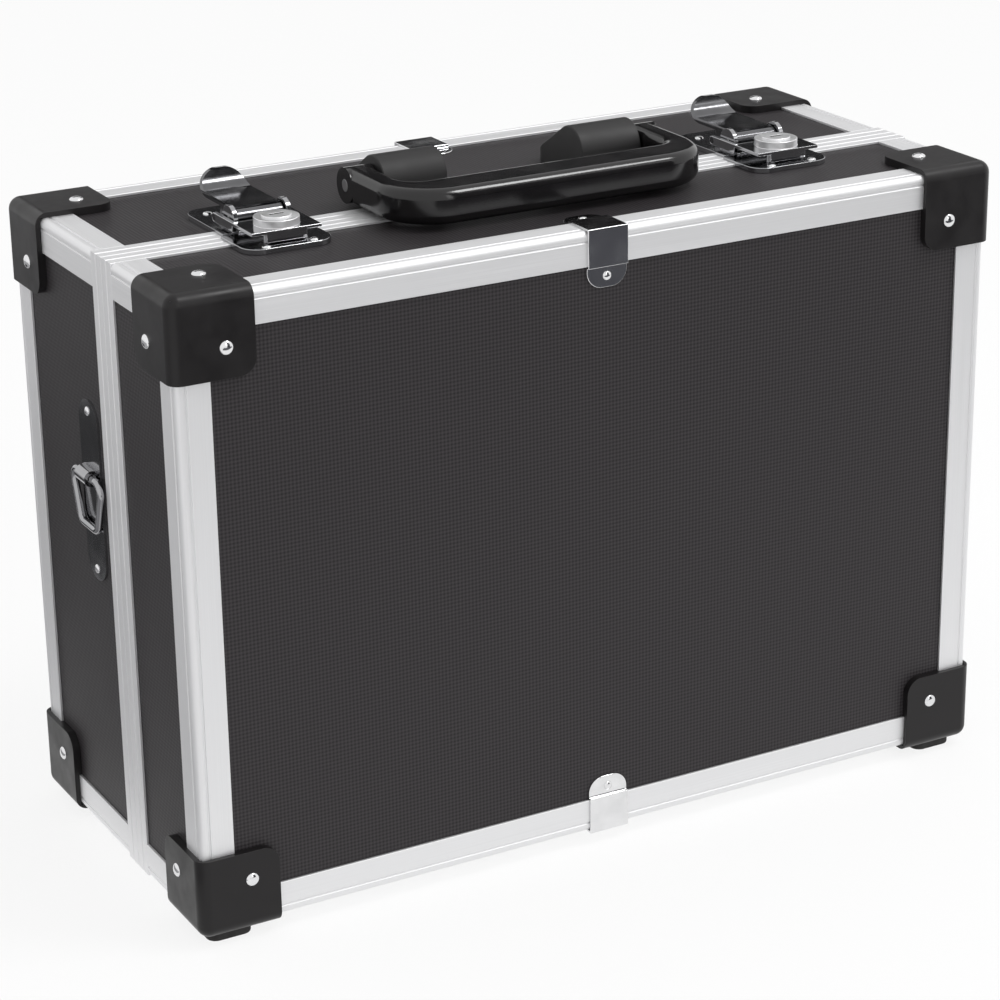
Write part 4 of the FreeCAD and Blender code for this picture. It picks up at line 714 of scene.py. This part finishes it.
# Meter scale: an arc of ticks with figures, a red and a green band
dial_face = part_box("meter_dial")[0].y - 2 * PRINT_THICKNESS * MM
needle_joint = next(joint for joint in frame["joints"] if joint["name"] == "meter_needle")
dial_pivot = Vector((needle_joint["pos_m"][0], dial_face, needle_joint["pos_m"][2]))
tick_swings = spread(DIAL_SWING, DIAL_STEPS)
ticks = [DIAL_SHORT_TICK if n % DIAL_LONG_EVERY else DIAL_LONG_TICK for n in range(len(tick_swings))]
tick_middles = [
    on_circle(dial_pivot, DIAL_TICK_RADIUS + length / 2, swing)
    for swing, (_, length) in zip(tick_swings, ticks)]
strokes(
    "dial_ticks", tick_middles, [-swing for swing in tick_swings], ticks, black_ink_and_slot_shade, "base")
band_swings = spread(DIAL_SWING, BAND_STEPS)
bands = [("replace", red_ink, band_swings[:BAND_STROKES]), ("good", green_ink, band_swings[-BAND_STROKES:])]
for band, ink, swings in bands:
    strokes(
        f"dial_band_{band}", [on_circle(dial_pivot, BAND_RADIUS, swing) for swing in swings],
        [-swing for swing in swings], [BAND_STROKE] * len(swings), ink, "base")
for n, swing in enumerate(spread(DIAL_SWING, DIAL_FIGURE_STEPS)):
    figure = str(100 * n // DIAL_FIGURE_STEPS)
    words(
        f"dial_figure_{figure}", figure, on_circle(dial_pivot, DIAL_FIGURE_RADIUS, swing), DIAL_FIGURE_HEIGHT,
        black_ink_and_slot_shade, "base")

# Scales round the knobs and a white line on each pointer
panel_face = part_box("instrument_panel")[0].y - PRINT_THICKNESS * MM
swings = spread(KNOB_SWING, KNOB_STEPS)
for node in ("filament_knob", "bias_knob", "function_knob"):
    low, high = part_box(node)
    middle = Vector(((low.x + high.x) / 2, panel_face, (low.z + high.z) / 2))
    strokes(
        f"{node}_scale", [on_circle(middle, KNOB_TICK_RADIUS, swing) for swing in swings],
        [-swing for swing in swings], [KNOB_TICK] * len(swings), white_ink, "base")
    for n, swing in enumerate(swings):
        words(
            f"{node}_figure_{n}", str(n), on_circle(middle, KNOB_FIGURE_RADIUS, swing), KNOB_FIGURE_HEIGHT,
            white_ink, "base")
    front = Vector((middle.x, low.y - PRINT_THICKNESS * MM, middle.z))
    strokes(
        f"{node}_pointer", [on_circle(front, POINTER_RADIUS, 0)], [0], [POINTER_STROKE], white_ink,
        BODY_OF[node])

# Dark strokes across the panel's screws, painted shade that stands in for their slots, and the switch's two words
strokes(
    "panel_screw_slots", [seat + READER_NEAR * size[2] for seat, size in zip(screw_seats, screw_sizes)],
    [SCREW_SLOT_TURN * n for n in range(len(screw_seats))], [SCREW_SLOT] * len(screw_seats), black_ink_and_slot_shade,
    "base")
rocker_low, rocker_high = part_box("rocker_frame")
rocker_x = (rocker_low.x + rocker_high.x) / 2
word_gap = SWITCH_WORD_GAP * MM
for word, z in (("ON", rocker_low.z - word_gap), ("OFF", rocker_high.z + word_gap)):
    words(
        f"switch_word_{word.lower()}", word, Vector((rocker_x, panel_face, z)), SWITCH_WORD_HEIGHT, white_ink,
        "base")


def lining():
    """Foam with rows of soft peaks towards the inside of the case."""
    low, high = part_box("lid_foam")
    columns = int((high.x - low.x) / (FOAM_STEP * MM))
    rows = int((high.z - low.z) / (FOAM_STEP * MM))
    form = bmesh.new()
    wave = 2 * math.pi / (FOAM_PITCH * MM)
    grids = []
    for front in (True, False):
        grid = []
        for row in range(rows + 1):
            z = low.z + (high.z - low.z) * row / rows
            line = []
            for column in range(columns + 1):
                x = low.x + (high.x - low.x) * column / columns
                swell = (math.sin(x * wave) * math.sin(z * wave) + 1) / 2
                rim = min(x - low.x, high.x - x, z - low.z, high.z - z) / (FOAM_RIM * MM)
                y = high.y - FOAM_PEAK * MM * (1 - swell * min(1.0, rim))
                line.append(form.verts.new((x, y if front else low.y, z)))
            grid.append(line)
        grids.append(grid)
    for grid in grids:
        for row in range(rows):
            for column in range(columns):
                form.faces.new((grid[row][column], grid[row][column + 1], grid[row + 1][column + 1],
                                grid[row + 1][column]))
    front, back = grids
    around = [(0, c) for c in range(columns)] + [(r, columns) for r in range(rows)]
    around += [(rows, c) for c in range(columns, 0, -1)] + [(r, 0) for r in range(rows, 0, -1)]
    for here, after in zip(around, around[1:] + around[:1]):
        form.faces.new((front[here[0]][here[1]], front[after[0]][after[1]], back[after[0]][after[1]],
                        back[here[0]][here[1]]))
    bmesh.ops.recalc_face_normals(form, faces=form.faces)
    piece = shown("lid_lining", form, foam, "lid")
    piece.data.shade_smooth()
    piece.data.set_sharp_from_angle(angle=math.radians(FOAM_SHARP_ANGLE))
    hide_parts("lid_foam")


lining()

# Camera, lamps, floor and world
camera_data = bpy.data.cameras.new("photograph")
camera_data.lens = CAMERA_LENS
camera_data.sensor_width = CAMERA_SENSOR
camera_data.sensor_fit = "HORIZONTAL"
camera_data.clip_start = 0.05
camera = bpy.data.objects.new("photograph", camera_data)
stand = Matrix((CAMERA_RIGHT, CAMERA_UP, CAMERA_BACK)).transposed().to_4x4()
stand.translation = CAMERA_PLACE
camera.matrix_world = stand
bpy.context.scene.collection.objects.link(camera)
bpy.context.scene.camera = camera


def lamp(name, place, target, size, power):
    """A square soft box that faces a point."""
    light = bpy.data.lights.new(name, "AREA")
    light.size = size
    light.energy = power
    box = bpy.data.objects.new(name, light)
    box.location = place
    box.rotation_euler = (Vector(target) - Vector(place)).to_track_quat("-Z", "Y").to_euler()
    bpy.context.scene.collection.objects.link(box)


lamp("front_box", (0.9, -2.2, 1.3), (0, 0, 0.15), 1.6, 12.0)
lamp("top_box", (0.9, -0.75, 2.1), (0, -0.05, 0.3), 0.65, 18.0)


def studio_card(name, low, high, colour):
    """A card between two opposite corners that only reflections see, to give the metal its contrast."""
    (left, front, bottom), (right, back, top) = low, high
    corners = [(left, front, bottom), (right, front, bottom), (right, back, top), (left, back, top)]
    mesh = bpy.data.meshes.new(name)
    mesh.from_pydata(corners, [], [range(len(corners))])
    paper, _, _ = surface(f"{name}_paper", colour, 0.9)
    mesh.materials.append(paper)
    piece = bpy.data.objects.new(name, mesh)
    bpy.context.scene.collection.objects.link(piece)
    piece.visible_camera = False
    piece.visible_diffuse = False
    piece.visible_shadow = False


studio_card("back_card", (0.0, 1.3, 0.55), (1.5, 1.3, 1.25), "#1c1c1e")
studio_card("front_card", (-0.5, -1.8, 0.004), (1.5, -0.6, 0.004), "#2a2b32")
studio_card("room_card", (0.4, -1.8, 0.0), (1.5, -1.8, 2.4), "#26272c")
studio_card("ring_card", (-0.6, 0.29, 0.008), (-0.33, 0.65, 0.008), "#2a2a2c")
studio_card("left_card", (-1.4, -0.2, 0.004), (-0.26, 1.3, 0.004), "#a8a8aa")


def shown_white(tree):
    """One for rays that look at the background: from the camera, off metal or through glass."""
    path = add(tree, "ShaderNodeLightPath")
    seen = add(
        tree, "ShaderNodeMath", operation="MAXIMUM",
        wires={0: path.outputs["Is Camera Ray"], 1: path.outputs["Is Glossy Ray"]})
    return add(
        tree, "ShaderNodeMath", operation="MAXIMUM",
        wires={0: seen.outputs[0], 1: path.outputs["Is Transmission Ray"]}).outputs[0]


def sweep_paper():
    """White paper that keeps a light shadow: mostly the white behind it shows, or a piece below it."""
    material, tree, shader = surface("sweep_paper", "#f4f4f4", 0.9, Specular_IOR_Level=0.0)
    share = add(
        tree, "ShaderNodeMapRange", values={"To Min": 0.0, "To Max": FLOOR_CLEAR},
        wires={"Value": shown_white(tree)})
    clear = add(tree, "ShaderNodeBsdfTransparent")
    both = add(
        tree, "ShaderNodeMixShader", wires={0: share.outputs[0], 1: shader.outputs[0], 2: clear.outputs[0]})
    tree.links.new(both.outputs[0], tree.nodes["Material Output"].inputs["Surface"])
    return material


floor_form = bmesh.new()
bmesh.ops.create_grid(floor_form, x_segments=1, y_segments=1, size=FLOOR_SIZE)
floor_mesh = bpy.data.meshes.new("floor")
floor_form.to_mesh(floor_mesh)
floor_form.free()
floor_mesh.materials.append(sweep_paper())
floor = bpy.data.objects.new("floor", floor_mesh)
bpy.context.scene.collection.objects.link(floor)
floor.visible_shadow = False

world = bpy.data.worlds.new("studio")
bpy.context.scene.world = world
world.use_nodes = True
sky = world.node_tree
room = sky.nodes["Background"]
room.inputs["Color"].default_value = (1, 1, 1, 1)
level = add(
    sky, "ShaderNodeMapRange", values={"To Min": ROOM_LIGHT, "To Max": 1.0},
    wires={"Value": shown_white(sky)})
sky.links.new(level.outputs[0], room.inputs["Strength"])

bpy.context.scene.view_settings.view_transform = "Standard"
